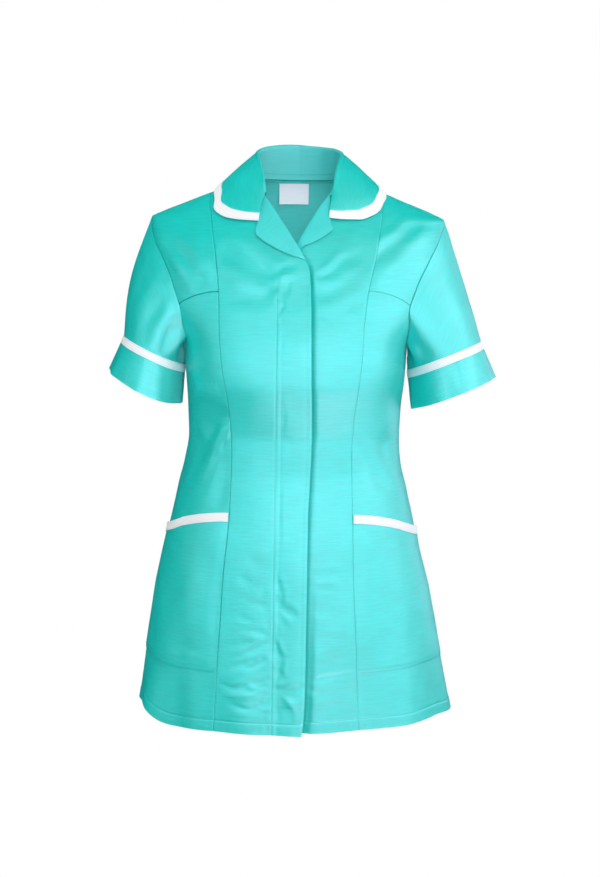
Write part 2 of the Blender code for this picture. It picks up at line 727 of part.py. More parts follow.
def make_collar(materials):
    middle = collar_grid()
    cloth_faces = sheet_faces(middle, CLOTH)
    trim_faces = sheet_faces(middle, DOUBLED)
    outer, inner = (face[:-1].copy() for face in cloth_faces)
    outer, inner = pulled_in(outer, inner, ("bottom",), SEAM_GAP / 2)
    wall("collar", outer, inner, materials["cloth"])
    outer, inner = (face[-2:].copy() for face in trim_faces)
    outer, inner = pulled_in(outer, inner, ("top",), SEAM_GAP / 2)
    wall("collar_trim", outer, inner, materials["trim"])


# ---------- pieces that lie on the body ----------
def on_front(side, corner):
    """(phi, z) of a corner given as distance from the middle line and height."""
    distance, z = corner
    return np.array([float(angle_at(side * distance, z)), z])


def lapel_grid(side):
    corners = {key: on_front(side, value) for key, value in LAPELS[side].items()}
    rows, columns = LAPEL_GRID
    fold_z = np.linspace(corners["fold_top"][1], corners["fold_bottom"][1], rows + 1)
    fold = path(angle_at(front_edge_x(side, fold_z) + side * FOLD_INSET, fold_z), fold_z)
    corners["fold_top"], corners["fold_bottom"] = fold[0], fold[-1]
    outer = straight(corners["outer_top"], corners["tip"], rows)
    top = straight(corners["fold_top"], corners["outer_top"], columns)
    if side == LEFT:
        tuck = on_front(side, LAPEL_LEFT_TUCK)
        bottom = joined(
            straight(corners["fold_bottom"], tuck, 1),
            straight(tuck, corners["tip"], columns - 1),
        )
    else:
        bottom = straight(corners["fold_bottom"], corners["tip"], columns)
    return patch(top, bottom, fold, outer)


def make_lapel(side, materials):
    grid = lapel_grid(side)
    out = front_offset(side, grid[..., 0], grid[..., 1]) + LAPEL_GAP + CLOTH
    body_wall(f"lapel_{SIDE_NAMES[side]}", grid, out, materials["cloth"])


def pocket_top_z(share):
    top, side = POCKET_TOP_Z
    return top + (side - top) * share**POCKET_TOP_POWER


def pocket_grid(side, top, low, rows):
    """Grid over the lower side panel, on the panel's own columns, between two rows of heights."""
    panel = side_lower_grid(side)
    inset = math.radians(POCKET_INSET) * side
    lines = []
    for t in np.linspace(0, 1, rows + 1):
        z = top * (1 - t) + low * t
        phi = np.array([
            np.interp(-height, -panel[:, j, 1], panel[:, j, 0]) for j, height in enumerate(z)
        ])
        phi[0] += inset
        phi[-1] -= inset
        lines.append(path(phi, z))
    return np.array(lines)


def pocket_stand(grid):
    """The mouth stands off the panel a little, most in its middle."""
    share = np.linspace(0, 1, grid.shape[1])[None]
    below = np.clip((POCKET_TOP_Z[0] - grid[..., 1]) / 120, 0, 1)
    return POCKET_STAND * np.sin(math.pi * share) * (1 - below) ** 2


def make_pocket(side, materials):
    label = SIDE_NAMES[side]
    mouth = pocket_top_z(np.linspace(0, 1, BUST_COLUMNS + UNDERARM_COLUMNS + 1))
    grid = pocket_grid(side, mouth - POCKET_TRIM, POCKET_BOTTOM_Z, POCKET_ROWS)
    out = LAY_GAP + CLOTH + pocket_stand(grid)
    body_wall(f"pocket_{label}", grid, out, materials["cloth"], ("top",))
    grid = pocket_grid(side, mouth, mouth - POCKET_TRIM, 1)
    out = LAY_GAP + DOUBLED + pocket_stand(grid)
    body_wall(f"pocket_trim_{label}", grid, out, materials["trim"], ("bottom",), DOUBLED)


def make_label(materials):
    """A blank label that hangs inside the back neck from its seam."""
    x = np.linspace(*LABEL["x"], 5)
    z = np.linspace(*LABEL["z"], 4)
    phi = np.array([angle_at(x, h, back=True) for h in z])
    hang = np.linspace(0, LABEL["tilt"], 4)[:, None]
    out = -(CLOTH + LAY_GAP) - hang
    grid = path(phi, z[:, None])
    body_wall("label", grid, out, materials["label"], thickness=LABEL["thickness"])


def strip_between_fronts(x_range, z):
    x = np.linspace(*x_range, 3)
    phi = np.array([angle_at(x, h) for h in z])
    return path(phi, z[:, None])


def make_zip(materials):
    """The concealed zip between the two fronts, and its slider above the chain's top."""
    rows = front_edge(LEFT)[len(NECK_ROW_Z):, 1]
    grid = strip_between_fronts(ZIP["x"], np.array([ZIP["top_z"], *rows[:ZIP["rows"]]]))
    under = -(CLOTH + ZIP_GAP)
    out = front_offset(RIGHT, grid[..., 0], grid[..., 1]) + under
    body_wall("zip_tape", grid, out, materials["zip"], thickness=ZIP["thickness"])
    grid = strip_between_fronts(SLIDER["x"], np.linspace(*SLIDER["z"], 3))
    out = front_offset(RIGHT, grid[..., 0], grid[..., 1]) + under
    body_wall("zip_slider", grid, out, materials["slider"], thickness=SLIDER["thickness"])


# ---------- materials and the whole ----------
def make_materials():
    made = {}
    for name, (colour, roughness, metallic) in MATERIALS.items():
        material = bpy.data.materials.new(name)
        material.use_nodes = True
        shader = material.node_tree.nodes["Principled BSDF"]
        shader.inputs["Base Color"].default_value = colour
        shader.inputs["Roughness"].default_value = roughness
        shader.inputs["Metallic"].default_value = metallic
        made[name] = material
    return made


def make_fronts(side, materials):
    label = SIDE_NAMES[side]
    cloth = materials["cloth"]
    grid = centre_front_grid(side)
    out = front_offset(side, grid[..., 0], grid[..., 1])
    body_wall(f"front_{label}", grid, out, cloth, ("top", "left"))
    grid = side_upper_grid(side)
    body_wall(f"side_upper_{label}", grid, 0, cloth, ("top", "bottom", "left", "right"))
    grid = side_lower_grid(side)
    body_wall(f"side_lower_{label}", grid, 0, cloth, ("top", "left", "right"))


def main():
    for obj in list(bpy.data.objects):
        bpy.data.objects.remove(obj, do_unlink=True)
    materials = make_materials()
    for side in (RIGHT, LEFT):
        make_fronts(side, materials)
        make_sleeve(side, materials)
        make_lapel(side, materials)
        make_pocket(side, materials)
    body_wall("back", back_grid(), 0, materials["cloth"], ("left", "right"))
    make_collar(materials)
    make_label(materials)
    make_zip(materials)


main()
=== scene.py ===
"""Work tunic: the visual model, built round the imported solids.

Units are metres in the scene and millimetres in the tables. +Z is up, the front faces -Y and
the wearer's right is -X. The body is one smooth surface, torso(phi, z): phi is the angle round a
level section, 0 at the front middle and +90 degrees at the wearer's left. Each piece of cloth is
a thin shell on that surface, with its seams, creases and stitching.
"""
import math

import bpy
import numpy as np
from mathutils import Matrix, Vector


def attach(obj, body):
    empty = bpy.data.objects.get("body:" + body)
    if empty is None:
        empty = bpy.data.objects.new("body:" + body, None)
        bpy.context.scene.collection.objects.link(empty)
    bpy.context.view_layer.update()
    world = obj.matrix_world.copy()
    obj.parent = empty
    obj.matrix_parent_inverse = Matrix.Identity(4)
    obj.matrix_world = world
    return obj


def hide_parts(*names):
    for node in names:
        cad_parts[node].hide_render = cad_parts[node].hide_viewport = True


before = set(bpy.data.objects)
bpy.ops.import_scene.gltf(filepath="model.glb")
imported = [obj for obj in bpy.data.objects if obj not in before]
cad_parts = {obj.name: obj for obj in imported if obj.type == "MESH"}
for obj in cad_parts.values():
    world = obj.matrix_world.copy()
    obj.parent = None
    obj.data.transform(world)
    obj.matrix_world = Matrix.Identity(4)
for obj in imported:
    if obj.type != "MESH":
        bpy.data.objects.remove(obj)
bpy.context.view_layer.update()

MM = 0.001
RIGHT, LEFT = -1, 1                 # the wearer's sides, as signs of x
SIDE_NAMES = {RIGHT: "right", LEFT: "left"}

# ---------- driving dimensions, in millimetres ----------
CLOTH = 1.2                         # thickness of a single wall
DOUBLED = 1.8                       # thickness of a trim or a turned-up cuff
SEAM_GAP = 0.3                      # between pieces that are sewn edge to edge
LAY_GAP = 0.6                       # between a panel and what lies on it
HEM_Z = -709
SHOULDER_TIP_Z = -53
UNDERARM_Z = -215
BACK_NECK_Z = -5

# ---------- the body, as level sections ----------
# half: half width. front, back: depths from the side line. lean: sideways shift of the middle.
# A power of 2 is an ellipse, and a higher one is squarer. A table's first row names its columns.
SECTIONS = (
    ("z", "half", "front", "back", "lean", "front_power", "back_power"),
    (6, 46, 24, 55, 0, 1.8, 1.9),
    (0, 63, 30, 59, 0, 1.8, 1.9),
    (-10, 89.5, 38, 64, 1, 1.8, 1.9),
    (-20, 116, 45, 68, 2, 1.8, 1.9),
    (-33, 149.5, 53, 72, 1.5, 1.8, 1.9),
    (-43, 175, 59, 75, 0, 1.8, 1.9),
    (-53, 192, 65, 78, -1, 1.85, 1.95),
    (-66, 191.5, 72.5, 82, -1, 2.15, 2.2),
    (-80, 190, 79, 86, -1, 2.4, 2.4),
    (-110, 186, 90, 92, -1, 2.5, 2.45),
    (-140, 180, 99, 97, -1, 2.45, 2.4),
    (-175, 168, 109, 101, -1, 2.4, 2.3),
    (-215, 148, 117, 103, -1, 2.35, 2.25),
    (-255, 145, 119, 101, -1, 2.35, 2.2),
    (-300, 141, 111.5, 96, -2, 2.3, 2.2),
    (-336, 140, 105.5, 93.5, -2, 2.25, 2.2),
    (-374, 144, 105.5, 98, -3, 2.25, 2.2),
    (-406, 151.5, 110, 105, -3, 2.25, 2.2),
    (-472, 167, 121, 119, -3, 2.25, 2.2),
    (-539, 182.5, 128, 128, -1, 2.2, 2.15),
    (-605, 194, 133, 134, 1, 2.15, 2.1),
    (-672, 205.5, 138, 139, 2.5, 2.1, 2.1),
    (HEM_Z, 212.5, 141, 142, 4, 2.05, 2.05),
)

# ---------- soft folds and fullness of the body ----------
# A row raises (or, below zero, sinks) the cloth round angle phi, from nothing at top to its
# whole height at full and back to nothing at end: phi, top, full, end, width, height.
BUST_FOLDS = (
    (-38, -150, -235, -310, 17, 6),
    (38, -150, -235, -310, 17, 6),
)
WAIST_FOLDS = (
    (-62, -318, -340, -395, 9, -3),
    (56, -318, -342, -385, 9, -3),
    (150, -300, -335, -380, 14, -3),
    (-150, -300, -335, -380, 14, -3),
)
# Those of the skirt are whole at the hem: phi, top, width, height.
SKIRT_FOLDS = (
    (-66, -560, 8, 4.5),
    (-47, -520, 7, -4),
    (-18, -540, 8, 3.5),
    (22, -560, 8, -3),
    (44, -520, 8, 4),
    (68, -560, 8, -3.5),
    (112, -560, 9, 4),
    (140, -520, 9, -4),
    (165, -500, 10, 5),
    (-168, -540, 9, -4),
    (-142, -520, 9, 5),
    (-112, -560, 9, -4),
)
SKIRT_END = -900
FOLDS = (
    *BUST_FOLDS,
    *((phi, top, HEM_Z, SKIRT_END, *size) for phi, top, *size in SKIRT_FOLDS),
    *WAIST_FOLDS,
)

# ---------- seams on the body ----------
# Distance from the middle line to the princess seam, at height z, on each side.
PRINCESS = (
    ("z", "right", "left"),
    (-57, 111.5, 106),
    (-100, 104.5, 99),
    (-142, 100.5, 90),
    (-180, 98, 85.5),
    (-243, 91, 80),
    (-312, 83.5, 75),
    (-345, 81.5, 73.5),
    (-427, 83.5, 75.5),
    (-513, 90.5, 78.5),
    (-621, 96, 84.5),
    (HEM_Z, 100.5, 89.5),
)
PRINCESS_TOP_Z = {RIGHT: -20, LEFT: -18}
BUST_SEAM_Z = {RIGHT: (-142, -161), LEFT: (-138, -158.5)}   # at the princess seam, at the armhole
BUST_SEAM_POWER = 1.5
# Angle of the armhole seam from the front middle (front) or from the back middle (back).
ARMHOLE = (
    ("z", "front_right", "front_left", "back_right", "back_left"),
    (SHOULDER_TIP_Z, 90, 90, 90, 90),
    (-66, 83.6, 79.4, 83.6, 82.5),
    (-80, 76.7, 72.8, 78, 76.9),
    (-101, 66.8, 63.5, 69.2, 68.1),
    (-132, 59.1, 55.9, 62.1, 61),
    (-160, 57.8, 54.3, 59.7, 58.6),
    (-188, 62.7, 62.6, 65.4, 65.4),
    (-205, 72.7, 72.7, 74.8, 74.8),
    (UNDERARM_Z, 90, 90, 90, 90),
)
# Inner edge of each front, as a distance from the middle line towards its own side: the neck
# seam down to the collar's end, the lapel's fold, and then the front edge. The right front
# crosses over the left one, so its distance turns negative.
FRONT_EDGE = (
    ("z", "right", "left"),
    (0, 63, 63),
    (-5, 62, 61.5),
    (-12, 56.5, 53.5),
    (-22, 43.5, 36.5),
    (-48, 23.5, 17.5),
    (-79, 2.5, -1.5),
    (-98, -9, -15),
    (-105, -12.5, -19.5),
    (-117, -15.5, -24),
    (-161, -18, -25),
    (-225, -19, -25),
    (-325, -21, -25),
    (-389, -19.5, -25),
    (-434, -18, -25),
    (-616, -17.5, -25),
    (-677, -16.5, -25),
    (HEM_Z, -14, -25),
)
PLACKET_STITCH = -25                # x of the placket's long stitch line
PLACKET_LIFT = (1.6, 4.8)           # how far the overlap stands out at its edge: top, hem
PLACKET_OPENS = 300                 # depth where that begins to grow
PLACKET_SLOPE = (-3, -4)            # it starts that far from the line, and ends so far from the edge
OVERLAP_STARTS = (60, 115)          # depths between which the overlap comes out
OVERLAP_DROP = 2                    # the overlap hangs this much below the hem at its edge
UNDERLAP_STEP = 4.6                 # depth of the left front under the overlap
UNDERLAP_BEYOND = (9, 5.5)          # where its two halves begin, beyond the overlap's edge
UNDERLAP_SLOPE = 7                  # and how wide each is
UNDERLAP_STARTS = (55, 78)          # depths between which the left front steps in
LAPEL_ROOM = 0.9                    # more of that where the left lapel goes under as well
LAPEL_ROOM_DEPTHS = (60, 78, 95, 125)
HEM_EASE = 560                      # depth below the neck points where the hem's rise begins
# How far the hem rises above its level, round the body.
HEM = (
    ("phi", "rise"),
    (-180, 0),
    (-130, 2.5),
    (-105, 7),
    (-90, 7),
    (-82, 10),
    (-74, 12),
    (-70, 10),
    (-66, 5.7),
    (-60, -0.8),
    (-56, -4.6),
    (-50, -6.5),
    (-38, -4.5),
    (-20, -1.5),
    (0, 0),
    (35, 3.5),
    (60, 5.0),
    (90, 0),
    (180, 0),
)

NECK_ROW_Z = (0, -5, -12, -22, -38, -58, -79, -95, -106, -122)   # rows of a front's inner edge

# ---------- sleeves ----------
# Outer and inner end, as (x, z) at the side line, and how much lower the front is than the back,
# each at the trim's top and at the hem.
SLEEVES = {
    RIGHT: {"outer": ((229, -208), (247, -251)), "inner": ((147.2, -246), (150.5, -296.5)),
            "front_drop": (-3.5, 4), "cap_bulge": 7.5},
    LEFT: {"outer": ((243.5, -209), (262, -256)), "inner": ((146.5, -249), (152.5, -300.5)),
           "front_drop": (-6, -4.5), "cap_bulge": 1.5},
}
SLEEVE_DEPTH = (124, 132)           # front to back, at the trim and at the hem
SLEEVE_MIDDLE_Y = (-4, -8)          # a sleeve hangs a little forward
SLEEVE_FOLD = 0.55                  # how much sharper than round a sleeve folds under the arm
SLEEVE_FOLD_POWER = 10              # a higher one keeps that fold narrower
SLEEVE_TRIM_PUFF = 0.7
CUFF_LIFT = 0.3
# Ripples at a cuff's hem: height, count round it, phase by the side's sign, phase.
CUFF_WAVES = ((1.2, 5, 1, 0), (0.9, 9, 0, 2), (0.5, 14, 0, 0))
TRIM_SHARE = 0.21                   # of the way from the trim's top to the sleeve's hem

# ---------- collar, from its front end (0) to the back middle (1) ----------
# Edge: angle and height on the body under the fall's outer edge. Roll: the crest of the fold.
COLLAR = (
    ("along", "seam_phi", "seam_z", "roll_x", "roll_y", "roll_z",
     "edge_phi_right", "edge_z_right", "edge_phi_left", "edge_z_left"),
    (0.00, 23.5, -21.5, 43.0, -47, -17, 16.5, -54.5, 14.0, -49.5),
    (0.10, 30, -16.8, 45.0, -42, -6, 23.0, -53.8, 20.0, -51),
    (0.20, 38, -12.2, 47.0, -34, 5, 29.5, -51.5, 26.0, -51),
    (0.32, 53, -6.0, 50.0, -22, 17, 38.0, -45, 34.0, -46),
    (0.45, 75, -1.5, 53.5, -6, 27, 55.0, -28, 52.0, -29.5),
    (0.58, 105, -0.5, 55.5, 12, 33, 90.0, -15.5, 90.0, -15),
    (0.72, 130, -2.0, 48.0, 32, 38, 122.0, -14.5, 122.0, -14.5),
    (0.86, 155, -4.0, 27.0, 50, 41.5, 152.0, -17, 152.0, -17),
    (1.00, 180, BACK_NECK_Z, 0.0, 57, 43, 180.0, -19, 180.0, -19),
)
COLLAR_ROLL_WIDTH = (3.6, 5.5)      # across the fold, at the front end and at the back
COLLAR_LEAN_END = 0.45              # up to here the stand leans in
COLLAR_RISE = 1.3                   # of the stand above the neck seam
COLLAR_EDGE_LIFT = 3.6              # of the fall's edge above the body
COLLAR_TRIM_WIDTH = (10.0, 14.0)    # at the front and back, at the sides
COLLAR_TRIM_SIDES = (0, 0.3, 0.42, 0.8)     # where it widens, is wide, until there, is narrow again
COLLAR_TRIM_GAP = 0.1
COLLAR_TRIM_PUFF = (0.5, 1.02)      # height, and how far towards the edge it ends
COLLAR_FRONT_SHARE = 0.4            # up to here the collar's seam is the front's inner edge
COLLAR_WAVE = (0.35, 34)            # height at the edge, and turn in radians from end to end
COLLAR_GROOVE = ((0, 1.2, -0.2),)   # along the trim: place, half width, height
COLLAR_GROOVE_ROWS = (14, 8)        # rows above the trim, where that starts and is whole
FALL_BULGE = 2.5

# ---------- lapels: (distance, z) of their corners ----------
# The fold's top and bottom, the tip, the outer edge's top, and on the left side the point where
# the lapel goes under the right front.
LAPELS = {
    RIGHT: ((41, -20.5), (-10.6, -101), (54, -70.5), (47.5, -37)),
    LEFT: ((34.5, -20.5), (-0.6, -80.5), (44.5, -63), (39.5, -37), (-3.2, -86.5)),
}
LAPEL_GAP = 0.75                    # between a front and its lapel
LAPEL_UNDER = 1.1                   # of the roll's low side, below the front's inner face
LAPEL_FACING = (14, 1.5, 8)         # the facing inside the front: from, to, columns
LAPEL_INSET = 1.6                   # of a front's own edge, inside its lapel's roll
LAPEL_ENDS = (92, 108)              # depths between which that inset ends
LAPEL_LIFT = 0.8                    # of a lapel's tip above its front
LAPEL_LIFT_OVER = (2, 42)           # distances from the fold over which it rises
LAPEL_TOP_LIFT = (0.4, 30)          # share of it at the top edge, and how far down it is whole
LAPEL_ROUND = (0.4, 6)              # rise of the lapel's face beside its fold, and over how far
FOLD_INSET = 0.4                    # of a lapel's fold from the front's edge

# ---------- pockets and small pieces ----------
POCKET_TOP_Z = (-426.5, -462)       # at the princess seam, at the side seam
POCKET_TOP_POWER = 1.5
POCKET_BOTTOM_Z = -634
POCKET_TRIM = 11.5
POCKET_TRIM_PUFF = 0.4
POCKET_STAND = 2.0                  # how far the pocket's mouth stands off
POCKET_STAND_REACH = 120            # down to this far below it
POCKET_INSET = 0.25                 # degrees between a pocket's side and the seam
# Dips towards a pocket's edges: place, half width, height.
POCKET_EDGES = {
    "bottom": ((0, 3.5, -0.8), (6.5, 0.8, -0.25)),
    "left": ((0, 10, -1.6),),
    "right": ((0, 8, -1.6),),
}
LABEL = {"x": (-27, 13), "z": (-7.5, -34.5), "tilt": 2.2, "bow": 0.8, "thickness": 0.6}
ZIP = {"x": (-16, 8), "top_z": -122}
ZIP_GAP = 0.9                       # between the right front's inner face and the tape
ZIP_END = 30                        # of the teeth above the hem
# share: of the pitch that a tooth fills. sideways: of its width. sunk: into the tape.
TOOTH = {"width": 3.2, "pitch": 2.6, "height": 0.8, "share": 0.36, "sideways": 0.3, "sunk": 0.1,
         "below_top": 4}
BOX_FACES = ((0, 1, 3, 2), (4, 6, 7, 5), (0, 4, 5, 1), (2, 3, 7, 6), (0, 2, 6, 4), (1, 5, 7, 3))

# ---------- how finely the cloth is drawn ----------
SHOULDER_ROWS = (8, 12)             # neck point to princess seam, princess seam to tip
UPPER_ROWS = 44                     # princess seam or armhole, above the bust seam
LOWER_ROWS = 190                    # below it, to the hem
BUST_COLUMNS = 26
UNDERARM_COLUMNS = 22
CENTRE_COLUMNS = (34, 26)           # from the princess seam to the placket's line, and to the edge
LINE_TOP_Z = -126                   # above it, a front's closest columns keep their share
LINE_FROM = 95                      # distance of the princess seam, for that share
LINE_LIMITS = (0.3, 0.92)
UNDERLAP_LINE = 4                   # of the left front's closest columns beyond the overlap's edge
BACK_COLUMNS = 124
COLLAR_STEPS = 180
STAND_STEPS, BEND_STEPS, FALL_STEPS, COLLAR_TRIM_STEPS = 12, 12, 22, 8
SLEEVE_ROWS, TRIM_ROWS, CUFF_ROWS = 66, 8, 24
POCKET_ROWS, POCKET_TRIM_ROWS = 74, 8
LAPEL_GRID = (46, 34)
LAPEL_ROLL_STEPS = 12
LAPEL_TUCK_COLUMNS = 4
LABEL_GRID = (14, 16)
CREASE_STEPS = 20
SPREAD = 0.72                       # how much closer grid lines lie near a seam
SHARP_ANGLE = 40
THIN = 0.8                          # thickness of the cloth that is drawn
THICK = 1.4                         # of a trim, a cuff or a hem

# ---------- seams and hems ----------
SEAM_DIP, SEAM_WIDTH = 1.5, 0.36    # depth and half width of the groove at a seam
SEAM_SHARE = {RIGHT: 0.85, LEFT: 0.35}      # share of that depth, on the two sides of the front
TRIM_SEAM_DIP = 0.15                # the same where a trim begins
SEAM_PUFF, SEAM_PUFF_AT, SEAM_PUFF_WIDTH = 0.05, 3.6, 3.0
PUCKER, PUCKER_START, PUCKER_REACH, PUCKER_LENGTH = 0.13, 2.5, 9.0, 13.0
HEM_DEPTH = 15.0                    # of the stitch line above the hem
HEM_STEP, HEM_STEP_WIDTH = 0.35, 2  # of the turned-up cloth
HEM_GROOVE = ((0, 0.8, -0.45),)     # at the stitch line: place, half width, height
HEM_GATHERS = (0.28, 11.0)          # height and length
# Relief beside the placket's line and its edge: place, half width, height.
PLACKET_LINE = ((0, 0.7, -0.4), (-3.4, 2.2, 0.08), (3, 2, 0.06), (6.6, 1.6, -0.16))
PLACKET_EDGE = ((2.6, 2.2, 0.25), (6.5, 1.8, -0.1))
PLACKET_STARTS = (118, 128)         # depths between which that relief begins
PLACKET_GATHERS = ((0.5, 10.5), (0.18, 12.0))   # height and length: low down, and all the way
PLACKET_LOW = (540, 600)            # depths between which the low ones begin
GATHERS_BESIDE = (8, 1.5)           # half widths, from the line, of the gathers and of their gap
TRIM_GAP = 0.03                     # between a trim and the cloth beside it, on each side
STITCH_LENGTH, STITCH_GAP, STITCH_RADIUS = 2.5, 0.75, 0.3
STITCH_LIFT = 0.1                   # above the cloth
STITCH_FLATNESS = 0.8
STITCH_PROFILE = ((0.0, 0.4), (0.2, 1.0), (0.8, 1.0), (1.0, 0.4))   # share along it, and radius
TRIM_STITCH = 1.2                   # from each edge of a trim
STAND_STITCH = 7.5                  # above the neck seam, on the collar's stand
POCKET_STITCHES = (1.8, 6.5)        # above a pocket's bottom edge
# Overlock loops on the neck seam inside the back: from the middle, depths, spacing, thickness.
NECK_LOOPS = {"reach": 62, "depths": (0.8, 4.6), "pitch": 2.7, "radius": 0.55, "lift": 0.2,
              "line": 0.3, "line_stitch": (2.2, 0.9)}

